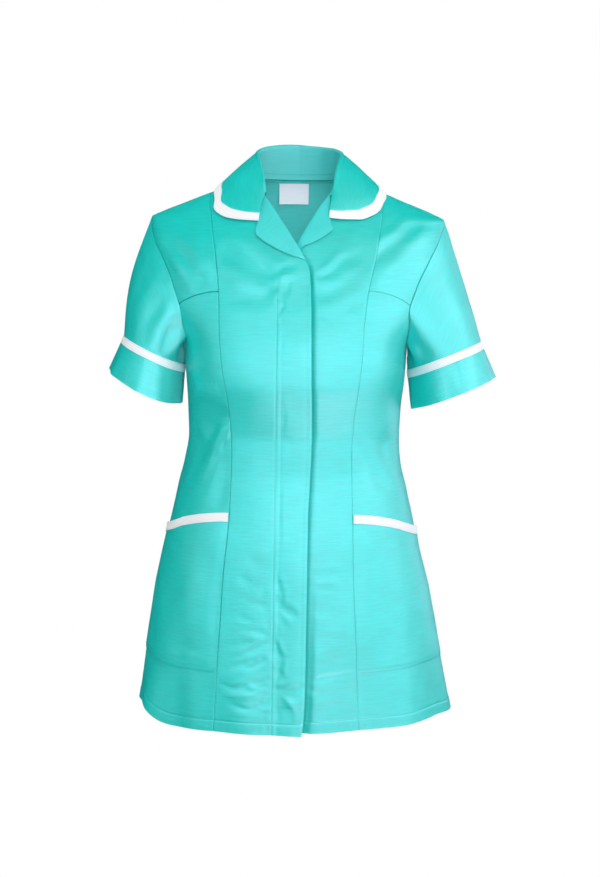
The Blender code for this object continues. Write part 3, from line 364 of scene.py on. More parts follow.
# ---------- creases, by the piece of cloth that has them ----------
# A line of (x, z) points on the body, its half width and its height (below zero, a trough). A
# fourth value names the side with the sharper slope: 1 is on the line's right, -1 on its left.
SKIRT_RIDGE = (((-128, -470), (-134, -560), (-143, -709)), 17, 1.3)     # it goes on over the pocket
CREASES = {
    "front_right": (
        (((-40, -116), (-22, -110), (0, -104)), 5, -1.1, -1),
        (((-38, -124), (-20, -119), (-4, -110)), 5, 0.95, -1),
        (((-23, -128), (-19, -148), (-22, -172)), 3.5, -0.91, -1),
        (((-10, -130), (-14, -146), (-19, -166)), 3.5, -0.91, -1),
        (((-96, -140), (-60, -144), (-26, -141)), 13, -0.8),
        (((-94, -74), (-64, -92), (-36, -116), (-22, -138)), 11, -2.6, -1),
        (((-98, -104), (-70, -122), (-40, -140)), 10, 1.2),
        (((-24, -331), (-9, -330), (10, -329)), 2.4, -0.8, -1),
        (((-16, -276), (-14.4, -305), (-16.7, -329)), 4, -0.46, -1),
        (((-20, -205), (-16, -211), (-14, -214)), 2, -0.46, -1),
        (((-21, -226), (-16, -231), (-13, -233)), 2, -0.34, -1),
        (((-17, -392), (-17.7, -432), (-15.6, -470)), 4, -0.57, -1),
        (((-21, -503), (-16, -520), (-13, -530), (-19, -548)), 4.5, -1.7, -1),
        (((-22, -512), (-14, -509), (-5, -513)), 3, -0.8, -1),
        (((-24, -530), (-10, -544), (11, -556)), 5, -1.8, -1),
        (((-22, -552), (-12, -560), (-5, -572)), 4, -1.1, -1),
        (((-24, -582), (-17, -604), (-15, -622), (-20, -650)), 5, -2.1, -1),
        (((-23, -596), (-12, -606), (-6, -610)), 3.5, -1.1, -1),
        (((-22, -622), (-12, -630), (-8, -640)), 3.5, -1.1, -1),
        (((-60, -536), (-44, -539), (-27, -547)), 3, -0.8, -1),
        (((-84, -556), (-60, -560), (-40, -566)), 3, -0.68, -1),
        (((-70, -572), (-48, -574), (-27, -582)), 3.2, -1.1, -1),
        (((-92, -597), (-66, -592), (-46, -588)), 3.4, -0.8, -1),
        (((-64, -606), (-48, -598), (-27, -587)), 3, -1.3, -1),
        (((-90, -628), (-62, -618), (-44, -610)), 3.4, -0.8, -1),
        (((-60, -626), (-44, -618), (-28, -605)), 3, -1.3, -1),
        (((-92, -648), (-70, -650), (-54, -646)), 4, -1.3, -1),
        (((-58, -642), (-44, -642), (-27, -636)), 3.4, -1.4, -1),
        (((-84, -656), (-56, -660), (-30, -652)), 5, 0.91, -1),
        (((-80, -672), (-56, -677), (-40, -672)), 3.4, -1, -1),
        (((-44, -668), (-34, -668), (-26, -660)), 3, -1, -1),
        (((-26, -652), (-8, -652), (6, -646), (19, -642)), 6.5, -3, -1),
        (((-16, -660), (-6, -676), (2, -700)), 8, -1.6, -1),
        (((-20, -672), (-14, -690), (-17, -705)), 4, -0.8, -1),
        (((-60, -480), (-40, -490), (-27, -487)), 6, -0.57),
        (((-70, -384), (-50, -390), (-30, -386)), 7, -0.46),
        (((-72, -500), (-58, -512), (-40, -514)), 5, -0.57, -1),
    ),
    "front_left": (
        (((19, -146), (54, -138), (88, -118)), 12, -1.6),
        (((24, -124), (54, -108), (86, -84)), 10, -2.2, -1),
        (((22, -172), (60, -164), (82, -149)), 9, -0.6),
        (((30, -134), (58, -124), (86, -102)), 8, 1.0),
        (((22, -497), (40, -501), (62, -499)), 4, -1, -1),
        (((24, -520), (46, -517), (68, -522)), 3.4, -0.85, -1),
        (((22, -545), (40, -549), (58, -546)), 3.4, -0.85, -1),
        (((22, -586), (49, -581), (79, -587)), 4, -0.85, -1),
        (((20, -604), (49, -601), (79, -600)), 5, 0.68, -1),
        (((19, -638), (50, -633), (80, -629)), 4, -1.2, -1),
        (((18, -668), (50, -664), (80, -660)), 5, 0.68, -1),
        (((18, -652), (28, -650), (42, -655)), 3, -1, -1),
    ),
    "side_upper_right": (
        (((-182, -80), (-157, -107), (-132, -148)), 7, 1.5),
        (((-172, -70), (-140, -104), (-118, -150)), 7, -1.3),
        (((-160, -60), (-126, -100), (-104, -126)), 8, 1.1),
        (((-140, -52), (-118, -84), (-104, -100)), 7, -0.9),
    ),
    "side_upper_left": (
        (((160, -50), (125, -80), (96, -104), (84, -140)), 8, -3.0),
        (((168, -66), (131, -97), (108, -122)), 8, 1.5),
        (((176, -88), (148, -118), (118, -140)), 8, -0.9),
    ),
    "side_lower_right": (
        (((-80, -300), (-102, -311), (-116, -338)), 11, -5.0, -1),
        (((-79, -311), (-99, -344), (-126, -402)), 7, 2.4, -1),
        (((-82, -352), (-92, -388), (-100, -424)), 9, -2.2),
        (((-140, -380), (-152, -402), (-160, -430)), 8, -0.8),
        (((-138, -190), (-124, -219), (-94, -240)), 10, -0.9),
        (((-140, -230), (-128, -262), (-100, -290)), 11, 0.9),
        SKIRT_RIDGE,
    ),
    "side_lower_left": (
        (((72, -310), (86, -318), (101, -320)), 2.2, -1.0),
        (((72, -319), (86, -326), (101, -328)), 4, 0.5),
        (((74, -325), (92, -356), (112, -388), (138, -418)), 8, -1.5),
        (((86, -322), (106, -354), (128, -384), (154, -414)), 10, 0.9),
        (((96, -187), (115, -214), (130, -246)), 10, 0.6),
        (((84, -200), (98, -240), (110, -280)), 11, -0.5),
        (((112, -250), (126, -290), (130, -330)), 10, -0.7),
    ),
    "pocket_right": (
        SKIRT_RIDGE,
        (((-94, -500), (-98, -550), (-102, -600)), 6, -0.5),
        (((-176, -500), (-180, -560), (-186, -620)), 8, -0.9),
        (((-186, -622), (-140, -618), (-104, -620)), 5, 0.5),
    ),
    "pocket_left": (
        (((80, -489), (89, -492), (101, -488)), 2.5, -0.6),
        (((82, -529), (92, -533), (104, -532)), 2.5, -0.6),
        (((130, -480), (142, -545), (150, -610)), 12, 0.6),
        (((110, -490), (120, -550), (128, -615)), 11, -0.5),
    ),
    "back": (
        (((-150, -75), (-110, -92), (-60, -88)), 12, -1.3),
        (((150, -72), (104, -90), (50, -84)), 12, -1.2),
        (((-150, -150), (-110, -185), (-70, -240)), 10, -1.2),
        (((-160, -165), (-124, -205), (-92, -262)), 9, 1.1),
        (((148, -148), (112, -190), (76, -238)), 10, -1.3),
        (((158, -170), (122, -214), (90, -262)), 9, 1.0),
        (((-130, -300), (-90, -318), (-40, -322)), 7, -1.6),
        (((-128, -312), (-88, -331), (-44, -336)), 7, 1.2),
        (((128, -306), (84, -322), (30, -320)), 7, -1.5),
        (((130, -318), (86, -336), (36, -334)), 7, 1.1),
        (((-120, -338), (-80, -352), (-20, -350)), 8, -1.0),
        (((118, -342), (70, -352), (10, -346)), 8, -1.0),
        (((-134, -352), (-112, -400), (-96, -470)), 12, 1.0),
        (((136, -350), (116, -405), (104, -474)), 12, 1.0),
        (((-60, -640), (-20, -634), (30, -642)), 9, -0.7),
    ),
}
# Hollow of the left front beside the overlap: from and to depth, distance, half width, depth.
EDGE_HOLLOWS = (
    (120, 200, 2.5, 4.5, 1.0),
    (420, 600, 2.5, 7.5, 3.0),
    (560, 690, 2.0, 6.5, 2.6),
)
# Creases of the sleeves: lines of (turn, share), turn in degrees from the shoulder seam down the
# front and up the back, share from the armhole (0) to the trim (1).
SLEEVE_CREASES = {
    RIGHT: (
        (((170, 0.0), (156, 0.4), (146, 0.9)), 10, -5.0),
        (((150, 0.0), (132, 0.4), (124, 0.8)), 8, 2.6),
        (((122, 0.05), (112, 0.45), (108, 0.95)), 9, -2.4),
        (((100, 0.1), (96, 0.5), (94, 1.0)), 8, 1.6),
        (((76, 0.2), (74, 0.6), (76, 1.0)), 8, -1.4),
        (((56, 0.1), (54, 0.55), (58, 1.0)), 9, 1.4),
        (((196, 0.0), (214, 0.4), (222, 0.8)), 8, -2.4),
        (((216, 0.0), (236, 0.45), (246, 0.9)), 9, 1.6),
        (((262, 0.1), (272, 0.5), (276, 0.95)), 9, -1.2),
    ),
    LEFT: (
        (((172, 0.0), (160, 0.4), (152, 0.9)), 10, -5.0),
        (((154, 0.0), (140, 0.4), (132, 0.8)), 8, 2.2),
        (((130, 0.05), (122, 0.5), (118, 0.95)), 9, -1.3),
        (((100, 0.1), (98, 0.5), (98, 1.0)), 10, 0.8),
        (((60, 0.15), (62, 0.6), (66, 1.0)), 10, -0.8),
        (((194, 0.0), (210, 0.4), (220, 0.8)), 8, -2.4),
        (((214, 0.0), (232, 0.45), (244, 0.9)), 9, 1.6),
        (((258, 0.1), (268, 0.5), (274, 0.95)), 9, -1.2),
    ),
}
# Slow unevenness of all cloth: wave lengths along x, y, z, a phase and a height.
UNEVEN = (
    (170, 190, 230, 0.4, 0.35),
    (-120, 150, 160, 2.1, 0.28),
    (95, -110, 140, 4.0, 0.2),
    (60, 75, -85, 1.3, 0.12),
    (-38, 45, 52, 5.2, 0.07),
)
DEEPEST = (1.75, 5.0)               # of troughs together: in the middle, over more cloth, and beside
DEEPEST_FROM = (24, 45)             # distances between which that changes
# Shape of a crease, in its half widths: how far it is drawn, its unevenness, the sharper and the
# gentler slope, and the low rim beside it. taper is the power of its fading at the ends.
CREASE = {"reach": 3.5, "taper": 0.7, "wander": 0.3, "steep": 0.55, "gentle": 1.5,
          "rim": 0.35, "rim_at": 1.9, "rim_width": 0.9}

# ---------- light, camera and colours ----------
CAMERA_TARGET = (0.0063, 0, -0.344)
CAMERA_DISTANCE, CAMERA_LENS = 2.6, 79.95
CAMERA_ELEVATION, CAMERA_ROLL = 9, 0.9
WHITE = (1, 1, 1, 1)
WORLD_LIGHT = 0.48
FLOOR_Z, FLOOR_REACH = -1.35, 40
COOL, NEUTRAL = (0.7, 0.76, 1.0), (1.0, 1.0, 1.0)
# Name, azimuth, height, distance, (width, height), watts.
DIFFUSE_LIGHTS = (
    ("key", 0, 0.1, 2.6, (1.6, 1.6), 9),
    ("upper", 28, 1.5, 1.8, (1.6, 1.6), 25),
    ("top", 0, 2.2, 0.4, (1.6, 1.6), 7),
    ("right_fill", 88, -0.1, 2.6, (1.6, 1.6), 7),
    ("left_fill", -70, -0.1, 2.6, (1.6, 1.6), 15),
    ("low_fill", 35, -1.8, 2.1, (1.6, 1.6), 5),
    ("back_fill", 180, 0.7, 2.4, (2.4, 2.0), 30),
)
GLOSS_LIGHTS = (
    ("low_gloss", 16, -1.7, 1.3, (1.4, 0.65), 54),
    ("front_gloss", 3, -0.2, 1.3, (1.45, 1.1), 46),
    ("left_gloss", -48, -0.35, 1.3, (0.7, 1.0), 9),
    ("right_gloss", 62, -0.2, 1.3, (1.4, 1.0), 36),
    ("right_low_gloss", 65, -1.25, 1.3, (1.2, 0.6), 20),
    ("right_high_gloss", 70, 0.6, 1.3, (1.1, 0.6), 20),
    ("far_right_gloss", 118, -0.3, 1.4, (1.2, 1.2), 11),
)
UNSHADED = ("right_gloss", "far_right_gloss")   # these pass the sleeve, to the side beneath it
# A small light within the neck: place, aim, size and watts. It lights the back's inner face.
NECK_LIGHT = {"at": (0, -0.02, -0.085), "towards": (0, 1.0, -0.25), "size": 0.08, "watts": 0.05}
SHEEN_ROUGHNESS = 0.45
WEAVE_HEIGHT, SLUB_HEIGHT = 0.5, 2.8
SLUB_SHARE = 0.6                    # of the shade, beside the cloudy part
SHADE_ENDS = (0.3, 0.7)             # shades that get the dark and the light colour
SLUB_SCALE = (34, 520)              # of the slubs, per metre across and down
SLUB_NOISE = {"Scale": 1.0, "Detail": 2.0, "Roughness": 0.7}
CLOUD_NOISE = {"Scale": 26.0, "Detail": 4.0}
BUMP_DISTANCE = 0.00012
WEAVE = (0.00055, 0.00045)
# Name, dark and light colour, roughness, specular, sheen, bump, threads, sheen tint, twill (slope
# and pitch).
WOVEN_LOOKS = {
    "cloth": ("tunic_cloth", (0.0, 0.545, 0.485), (0.001, 0.65, 0.585), 0.34, 0.5, 0.0, 0.35,
              WEAVE, (0.75, 1, 0.97, 1)),
    "reverse": ("tunic_cloth_reverse", (0.055, 0.57, 0.55), (0.068, 0.63, 0.61), 0.6, 0.3, 0.0,
                0.35, WEAVE),
    "facing": ("tunic_facing", (0.03, 0.62, 0.59), (0.04, 0.69, 0.66), 0.45, 0.4, 0.0, 0.35, WEAVE),
    "trim": ("contrast_trim", (0.86, 0.88, 0.9), (0.93, 0.94, 0.95), 0.6, 0.3, 0.1, 0.6,
             (0.0005, 0.0005), WHITE, (1.0, 0.0011)),
    "label": ("blank_label", (0.82, 0.84, 0.93), (0.88, 0.90, 0.98), 0.35, 0.5, 0.1, 0.3,
              (0.0003, 0.0003)),
    "zip": ("zip_cloth", (0.004, 0.36, 0.32), (0.006, 0.42, 0.37), 0.6, 0.3, 0.1, 0.5,
            (0.0006, 0.0006)),
}
# Name, colour, roughness, specular, metallic.
PLAIN_LOOKS = {
    "slider": ("zip_metal", (0.72, 0.74, 0.76), 0.28, 0.5, 1.0),
    "teeth": ("zip_teeth", (0.02, 0.47, 0.42), 0.35, 0.5, 0.0),
    "white_thread": ("white_thread", (0.8, 0.82, 0.84), 0.55, 0.35, 0.0),
    # the stitching thread is coloured darker than the cloth: painted shade along and between the
    # stitches
    "thread": ("thread", (0.0, 0.40, 0.36), 0.55, 0.35, 0.0),
}


# ---------- smooth curves through tables ----------
def column(table, name):
    names, *rows = table
    return np.array([row[names.index(name)] for row in rows], float)


def hermite(t, start, leave, end, arrive):
    """From start to end as t goes from 0 to 1, with a slope at each."""
    return (
        (1 + 2 * t) * (1 - t) ** 2 * start
        + t * (1 - t) ** 2 * leave
        + t * t * (3 - 2 * t) * end
        + t * t * (t - 1) * arrive
    )


def smooth(at, knots, values):
    """A curve through the values that doesn't overshoot them (monotone cubic)."""
    at = np.asarray(at, float)
    if knots[0] > knots[-1]:
        knots, values = knots[::-1], values[::-1]
    step = np.diff(knots)
    slope = np.diff(values) / step
    tangent = np.zeros(len(knots))
    tangent[0], tangent[-1] = slope[0], slope[-1]
    for i in range(1, len(knots) - 1):
        if slope[i - 1] * slope[i] > 0:
            before, after = step[i] * 2 + step[i - 1], step[i] + step[i - 1] * 2
            tangent[i] = (before + after) / (before / slope[i - 1] + after / slope[i])
    i = np.clip(np.searchsorted(knots, at) - 1, 0, len(knots) - 2)
    t = np.clip((at - knots[i]) / step[i], 0, 1)
    return hermite(t, values[i], step[i] * tangent[i], values[i + 1], step[i] * tangent[i + 1])


def through(points, steps):
    """A smooth line through a few points."""
    points = np.asarray(points, float)
    slope = np.gradient(points, axis=0)
    t = np.linspace(0, len(points) - 1, steps + 1)
    i = np.minimum(t.astype(int), len(points) - 2)
    return hermite((t - i)[:, None], points[i], slope[i], points[i + 1], slope[i + 1])


def read(table, name, at):
    """A table's named column, as a curve over its first column."""
    return smooth(at, column(table, table[0][0]), column(table, name))


def ramp(value, start, end):
    """0 before start, 1 after end, smooth between."""
    t = np.clip((value - start) / (end - start), 0, 1)
    return t * t * (3 - 2 * t)


def window(value, start, full, until, end):
    """1 between full and until, 0 before start and after end."""
    return ramp(value, start, full) * (1 - ramp(value, until, end))


def bell(distance, width):
    return np.exp(-((distance / width) ** 2))


def bells(distance, rows):
    """Relief across a line, from rows of place, half width and height."""
    return sum(height * bell(distance - at, width) for at, width, height in rows)


def blend(start, end, t):
    return start * (1 - t) + end * t


def eased(steps, start=True, end=True):
    """Values from 0 to 1, closer together at the ends that lie in a seam."""
    t = np.linspace(0, 1, steps + 1)
    if not (start and end):
        t = t / 2 if start else 0.5 + t / 2
    t = t - SPREAD * np.sin(2 * math.pi * t) / (2 * math.pi)
    if start and end:
        return t
    return 2 * t if start else 2 * t - 1


def spaced(start, end, steps):
    return start + (end - start) * eased(steps)


def straight(start, end, steps):
    return blend(np.asarray(start), np.asarray(end), np.linspace(0, 1, steps + 1)[:, None])


def joined(*lines):
    """One curve from several that follow each other."""
    return np.concatenate([lines[0]] + [line[1:] for line in lines[1:]])


def interpolated(at, known, values):
    return np.stack([np.interp(at, known, values[:, k]) for k in range(3)], -1)


def unit(vectors):
    return vectors / np.maximum(np.linalg.norm(vectors, axis=-1, keepdims=True), 1e-9)


# ---------- the body's surface ----------
def fold_relief(phi, z):
    """How far the folds raise the cloth, in millimetres."""
    total = np.zeros(np.broadcast(phi, z).shape)
    turn = 2 * math.pi
    for angle, top, full, end, width, height in FOLDS:
        away = (phi - math.radians(angle) + math.pi) % turn - math.pi
        total = total + height * bell(away, math.radians(width)) * window(-z, -top, -full, -full, -end)
    return total


def torso(phi, z):
    """Point of the body's outer surface, in millimetres. phi in radians."""
    phi, z = np.broadcast_arrays(np.asarray(phi, float), np.asarray(z, float))
    sizes = {name: read(SECTIONS, name, z) for name in SECTIONS[0][1:]}
    sine, cosine = np.sin(phi), np.cos(phi)
    in_front = cosine > 0
    power = 2 / np.where(in_front, sizes["front_power"], sizes["back_power"])
    depth = np.where(in_front, sizes["front"], sizes["back"])
    relief = fold_relief(phi, z)
    x = sizes["lean"] + sizes["half"] * np.sign(sine) * np.abs(sine) ** power + relief * sine
    y = -depth * np.sign(cosine) * np.abs(cosine) ** power - relief * cosine
    return np.stack([x, y, z], -1)


def torso_normal(phi, z):
    turn, drop = 0.02, 1.5
    across = torso(phi + turn, z) - torso(phi - turn, z)
    down = torso(phi, z - drop) - torso(phi, z + drop)
    return unit(np.cross(down, across))


def moved_torso(phi, z, out):
    return torso(phi, z) + torso_normal(phi, z) * np.asarray(out)[..., None]


def angle_at(x, z, back=False):
    """The angle phi at which the body's section at height z reaches x."""
    names = ("half", "lean", "back_power" if back else "front_power")
    half, lean, power = (read(SECTIONS, name, z) for name in names)
    share = np.clip((np.asarray(x, float) - lean) / half, -1, 1)
    phi = np.arcsin(np.abs(share) ** (power / 2)) * np.sign(share)
    return math.pi - phi if back else phi


# ---------- seam curves, each a list of (phi, z) ----------
def path(phi, z):
    return np.stack(np.broadcast_arrays(phi, z), -1).astype(float)


def side_line(side, z_from, z_to, steps):
    """Along the body's side: the shoulder seam, and the side seam under the arm."""
    return path(side * math.pi / 2, spaced(z_from, z_to, steps))


def princess(side, z_from, z_to, steps):
    """The princess seam, which starts on the shoulder seam."""
    top = PRINCESS_TOP_Z[side]
    knots = np.insert(column(PRINCESS, "z"), 0, top)
    values = np.insert(column(PRINCESS, SIDE_NAMES[side]), 0, read(SECTIONS, "half", top))
    z = spaced(z_from, z_to, steps)
    phi = angle_at(side * smooth(z, knots, values), z)
    phi[z >= top] = side * math.pi / 2
    return path(phi, z)


def armhole_at(side, z, back):
    phi = np.radians(read(ARMHOLE, ("back_" if back else "front_") + SIDE_NAMES[side], z))
    return path(side * (math.pi - phi if back else phi), z)


def armhole(side, back=False):
    """The armhole from the shoulder's tip to the height of the bust seam's end."""
    return armhole_at(side, spaced(SHOULDER_TIP_Z, BUST_SEAM_Z[side][1], UPPER_ROWS), back)


def underarm(side, back=False):
    """The lowest stretch of the armhole, from the bust seam's end to the side seam."""
    outer_z = BUST_SEAM_Z[side][1]
    t = eased(UNDERARM_COLUMNS, start=False)
    return armhole_at(side, outer_z + (UNDERARM_Z - outer_z) * np.sin(t * math.pi / 2), back)


def bust_seam(side, whole=True):
    inner_z, outer_z = BUST_SEAM_Z[side]
    start = princess(side, inner_z, inner_z, 0)[0, 0]
    end = armhole_at(side, outer_z, False)[0]
    t = eased(BUST_COLUMNS, end=whole)
    return path(start + (end - start) * t, inner_z + (outer_z - inner_z) * t**BUST_SEAM_POWER)


def front_edge_x(side, z):
    return side * read(FRONT_EDGE, SIDE_NAMES[side], z)


def front_edge(side):
    """A front's inner edge, from the neck point to the hem."""
    split = BUST_SEAM_Z[side][0]
    knots = np.array([*NECK_ROW_Z, split], float)
    upper = np.interp(eased(UPPER_ROWS) * (len(knots) - 1), np.arange(len(knots)), knots)
    z = joined(upper, spaced(split, HEM_Z, LOWER_ROWS))
    under_lapel = side * LAPEL_INSET * (1 - ramp(-z, *LAPEL_ENDS))
    phi = angle_at(front_edge_x(side, z) + under_lapel, z)
    phi[0] = side * math.pi / 2
    line = path(phi, z)
    if side == RIGHT:
        line[:, 1] -= OVERLAP_DROP * ramp(-z, HEM_EASE, -HEM_Z)
    return line


def raised_hem(grid):
    """The grid with its lowest rows lifted to the hem's curve."""
    turn = (np.degrees(grid[..., 0]) + 180) % 360 - 180
    lifted = grid.copy()
    lifted[..., 1] += read(HEM, "rise", turn) * ramp(-grid[..., 1], HEM_EASE, -HEM_Z)
    return lifted


def patch(top, bottom, left, right, shares=None):
    """Grid of (phi, z) between four curves that share corners (a Coons patch)."""
    s = (np.linspace(0, 1, len(top)) if shares is None else shares)[None, :, None]
    t = np.linspace(0, 1, len(left))[:, None, None]
    corners = blend(blend(top[0], top[-1], s), blend(bottom[0], bottom[-1], s), t)
    return blend(top, bottom, t) + blend(left[:, None], right[:, None], s) - corners


# ---------- how the two fronts cross ----------
def overlap_lift(x, z):
    """How far the right front stands out, from nothing at its stitch line to its edge."""
    top, hem = PLACKET_LIFT
    height = top + (hem - top) * ramp(-z, PLACKET_OPENS, -HEM_Z)
    from_line, to_edge = PLACKET_SLOPE
    across = ramp(x, PLACKET_STITCH + from_line, front_edge_x(RIGHT, z) + to_edge)
    return height * across * ramp(-z, *OVERLAP_STARTS)


def underlap_sink(x, z):
    """How far the left front steps in to pass under the right front."""
    edge = front_edge_x(RIGHT, z)
    near, far = (ramp(edge + beyond - x, 0, UNDERLAP_SLOPE) for beyond in UNDERLAP_BEYOND)
    room = LAPEL_ROOM * near * window(-z, *LAPEL_ROOM_DEPTHS)
    step = 0.5 * UNDERLAP_STEP * (near + far) + room
    return (overlap_lift(np.minimum(x, edge), z) * near - step) * ramp(-z, *UNDERLAP_STARTS)


def front_offset(side, phi, z):
    x = torso(phi, z)[..., 0]
    return overlap_lift(x, z) if side == RIGHT else underlap_sink(x, z)


# ---------- grids of the body's panels ----------
def centre_front_grid(side):
    inner_z = BUST_SEAM_Z[side][0]
    seam = joined(
        princess(side, PRINCESS_TOP_Z[side], inner_z, UPPER_ROWS),
        princess(side, inner_z, HEM_Z, LOWER_ROWS),
    )
    edge = front_edge(side)
    z = np.minimum(edge[:, 1], LINE_TOP_Z)
    line_x = PLACKET_STITCH if side == RIGHT else front_edge_x(RIGHT, z) + UNDERLAP_LINE
    start, line, end = (angle_at(x, z) for x in (side * LINE_FROM, line_x, front_edge_x(side, z)))
    split = np.clip((line - start) / (end - start), *LINE_LIMITS)[:, None]
    outer, inner = CENTRE_COLUMNS
    shares = np.concatenate([split * eased(outer), split + (1 - split) * eased(inner)[1:]], 1)
    return blend(seam[:, None], edge[:, None], shares[..., None])


def side_upper_grid(side):
    top_z = PRINCESS_TOP_Z[side]
    seam = princess(side, top_z, BUST_SEAM_Z[side][0], UPPER_ROWS)
    top = side_line(side, top_z, SHOULDER_TIP_Z, BUST_COLUMNS)
    return patch(top, bust_seam(side), seam, armhole(side), eased(BUST_COLUMNS))


def side_lower_grid(side):
    seam = princess(side, BUST_SEAM_Z[side][0], HEM_Z, LOWER_ROWS)
    out = side_line(side, UNDERARM_Z, HEM_Z, LOWER_ROWS)
    top = joined(bust_seam(side, whole=False), underarm(side))
    shares = panel_shares()
    return patch(top, blend(seam[-1], out[-1], shares[:, None]), seam, out, shares)


def panel_shares():
    """Shares of the lower side panel's columns, from the princess seam to the side seam."""
    split = BUST_COLUMNS / (BUST_COLUMNS + UNDERARM_COLUMNS)
    return joined(
        split * eased(BUST_COLUMNS, end=False),
        split + (1 - split) * eased(UNDERARM_COLUMNS, start=False),
    )


def back_side_line(side):
    """The back's long edge: shoulder seam, armhole and side seam."""
    inner, outer = SHOULDER_ROWS
    top = PRINCESS_TOP_Z[side]
    return joined(
        side_line(side, 0, top, inner),
        side_line(side, top, SHOULDER_TIP_Z, outer),
        armhole(side, back=True),
        underarm(side, back=True),
        side_line(side, UNDERARM_Z, HEM_Z, LOWER_ROWS),
    )


def back_grid():
    left, right = back_side_line(LEFT), back_side_line(RIGHT)
    right[:, 0] += 2 * math.pi
    shares = eased(BACK_COLUMNS)
    phi = math.pi / 2 + math.pi * shares
    neck = path(phi, smooth(np.abs(np.degrees(phi) - 180), *neck_dip()))
    return patch(neck, path(phi, HEM_Z), left, right, shares)


def neck_dip():
    """Height of the back neck seam, by angle from the back middle."""
    angle, height = column(COLLAR, "seam_phi"), column(COLLAR, "seam_z")
    behind = angle > 100
    return np.append(180 - angle[behind][::-1], 90.0), np.append(height[behind][::-1], 0.0)


# ---------- sleeves ----------
def armhole_ring(side):
    """The armhole from the shoulder tip down the front and up the back, as (phi, z)."""
    front, rear = (joined(armhole(side, back), underarm(side, back)) for back in (False, True))
    return np.concatenate([front, rear[-2:0:-1]])


def sleeve_ring(side, share, turn):
    """A ring between the trim's top (share 0) and the sleeve's hem (share 1)."""
    size = SLEEVES[side]
    outer, inner = (blend(*np.array(size[name]), share) for name in ("outer", "inner"))
    inward = (1 - np.cos(turn)) / 2
    forward = np.sin(turn) * (1 - SLEEVE_FOLD * inward**SLEEVE_FOLD_POWER)
    x = side * blend(outer[0], inner[0], inward)
    y = blend(*SLEEVE_MIDDLE_Y, share) - blend(*SLEEVE_DEPTH, share) / 2 * forward
    z = blend(outer[1], inner[1], inward) - blend(*size["front_drop"], share**2) * forward
    return np.stack([x, y, z], -1)


def ring_turns(ring):
    """The angle round a sleeve of each point of its armhole ring."""
    lengths = np.linalg.norm(np.diff(ring, axis=0, append=ring[:1]), axis=1)
    low = int(np.argmin(ring[:, 2]))
    front = np.insert(np.cumsum(lengths[:low]), 0, 0)
    back = np.cumsum(lengths[low:])
    return np.concatenate([math.pi * front / front[-1], math.pi + math.pi * back[:-1] / back[-1]])


def sleeve_rows(side, ring, turn):
    """Rings of the sleeve above its trim: the armhole first, the trim's top last."""
    t = eased(SLEEVE_ROWS)[:, None]
    rows = blend(ring, sleeve_ring(side, 0, turn), t[..., None])
    rows[..., 0] += side * SLEEVES[side]["cap_bulge"] * np.sin(math.pi * t) * (1 + np.cos(turn)) / 2
    return rows


# ---------- collar, lapels and pockets ----------
def arc(centre, out, up, radius, angles):
    return centre + radius * (out * np.cos(angles) + up * np.sin(angles))


def collar_section(side, along):
    """The middle of the collar's cloth across one section: seam, stand, roll, fall, edge."""
    def value(name):
        return float(read(COLLAR, name, along))

    label = SIDE_NAMES[side]
    seam_z, seam_phi = value("seam_z"), side * math.radians(value("seam_phi"))
    if along < COLLAR_FRONT_SHARE:
        seam_phi = float(angle_at(front_edge_x(side, seam_z), seam_z))
    lean_in = 1 - float(ramp(along, 0, COLLAR_LEAN_END))
    base = moved_torso(seam_phi, seam_z, -CLOTH / 2)
    base = base + unit(np.array([-side * lean_in, 0, 1])) * COLLAR_RISE
    roll = np.array([side * value("roll_x"), value("roll_y"), value("roll_z")])
    edge_phi = side * math.radians(value(f"edge_phi_{label}"))
    edge = moved_torso(edge_phi, value(f"edge_z_{label}"), COLLAR_EDGE_LIFT)
    out, up = unit((edge - roll) * (1, 1, 0)), np.array([0, 0, 1.0])
    radius = blend(*COLLAR_ROLL_WIDTH, along) / 2
    centre = roll - up * radius
    stand = straight(base, centre - out * radius, STAND_STEPS)[:-1]
    bend = arc(centre, out, up, radius, np.linspace(math.pi, 0, BEND_STEPS + 1)[:, None])
    start = centre + out * radius
    fall = edge - start
    width = blend(*COLLAR_TRIM_WIDTH, float(window(along, *COLLAR_TRIM_SIDES)))
    seam = 1 - width / float(np.linalg.norm(fall))
    t = np.concatenate([
        seam * eased(FALL_STEPS, start=False)[1:],
        seam + (1 - seam) * eased(COLLAR_TRIM_STEPS)[1:],
    ])[:, None]
    lift = unit(np.cross(np.cross(fall, up), fall))
    drop = blend(start, edge, t) + lift * FALL_BULGE * np.sin(math.pi * t)
    return np.concatenate([stand, bend, drop])


def collar_grid():
    half = np.linspace(0, 1, COLLAR_STEPS // 2 + 1)
    sections = [collar_section(RIGHT, along) for along in half]
    sections += [collar_section(LEFT, along) for along in half[-2::-1]]
    return np.array(sections).transpose(1, 0, 2)


def on_front(side, corner):
    """(phi, z) of a corner given as distance from the middle line and height."""
    distance, z = corner
    return np.array([float(angle_at(side * distance, z)), z])


def lapel_grid(side):
    fold_top, fold_bottom, tip, outer_top, *tuck = (on_front(side, row) for row in LAPELS[side])
    rows, columns = LAPEL_GRID
    fold_z = np.linspace(fold_top[1], fold_bottom[1], rows + 1)
    fold = path(angle_at(front_edge_x(side, fold_z) + side * FOLD_INSET, fold_z), fold_z)
    bottom = straight(fold[-1], tip, columns)
    if tuck:
        bottom = joined(
            straight(fold[-1], tuck[0], LAPEL_TUCK_COLUMNS),
            straight(tuck[0], tip, columns - LAPEL_TUCK_COLUMNS),
        )
    top = straight(fold[0], outer_top, columns)
    return patch(top, bottom, fold, straight(outer_top, tip, rows))


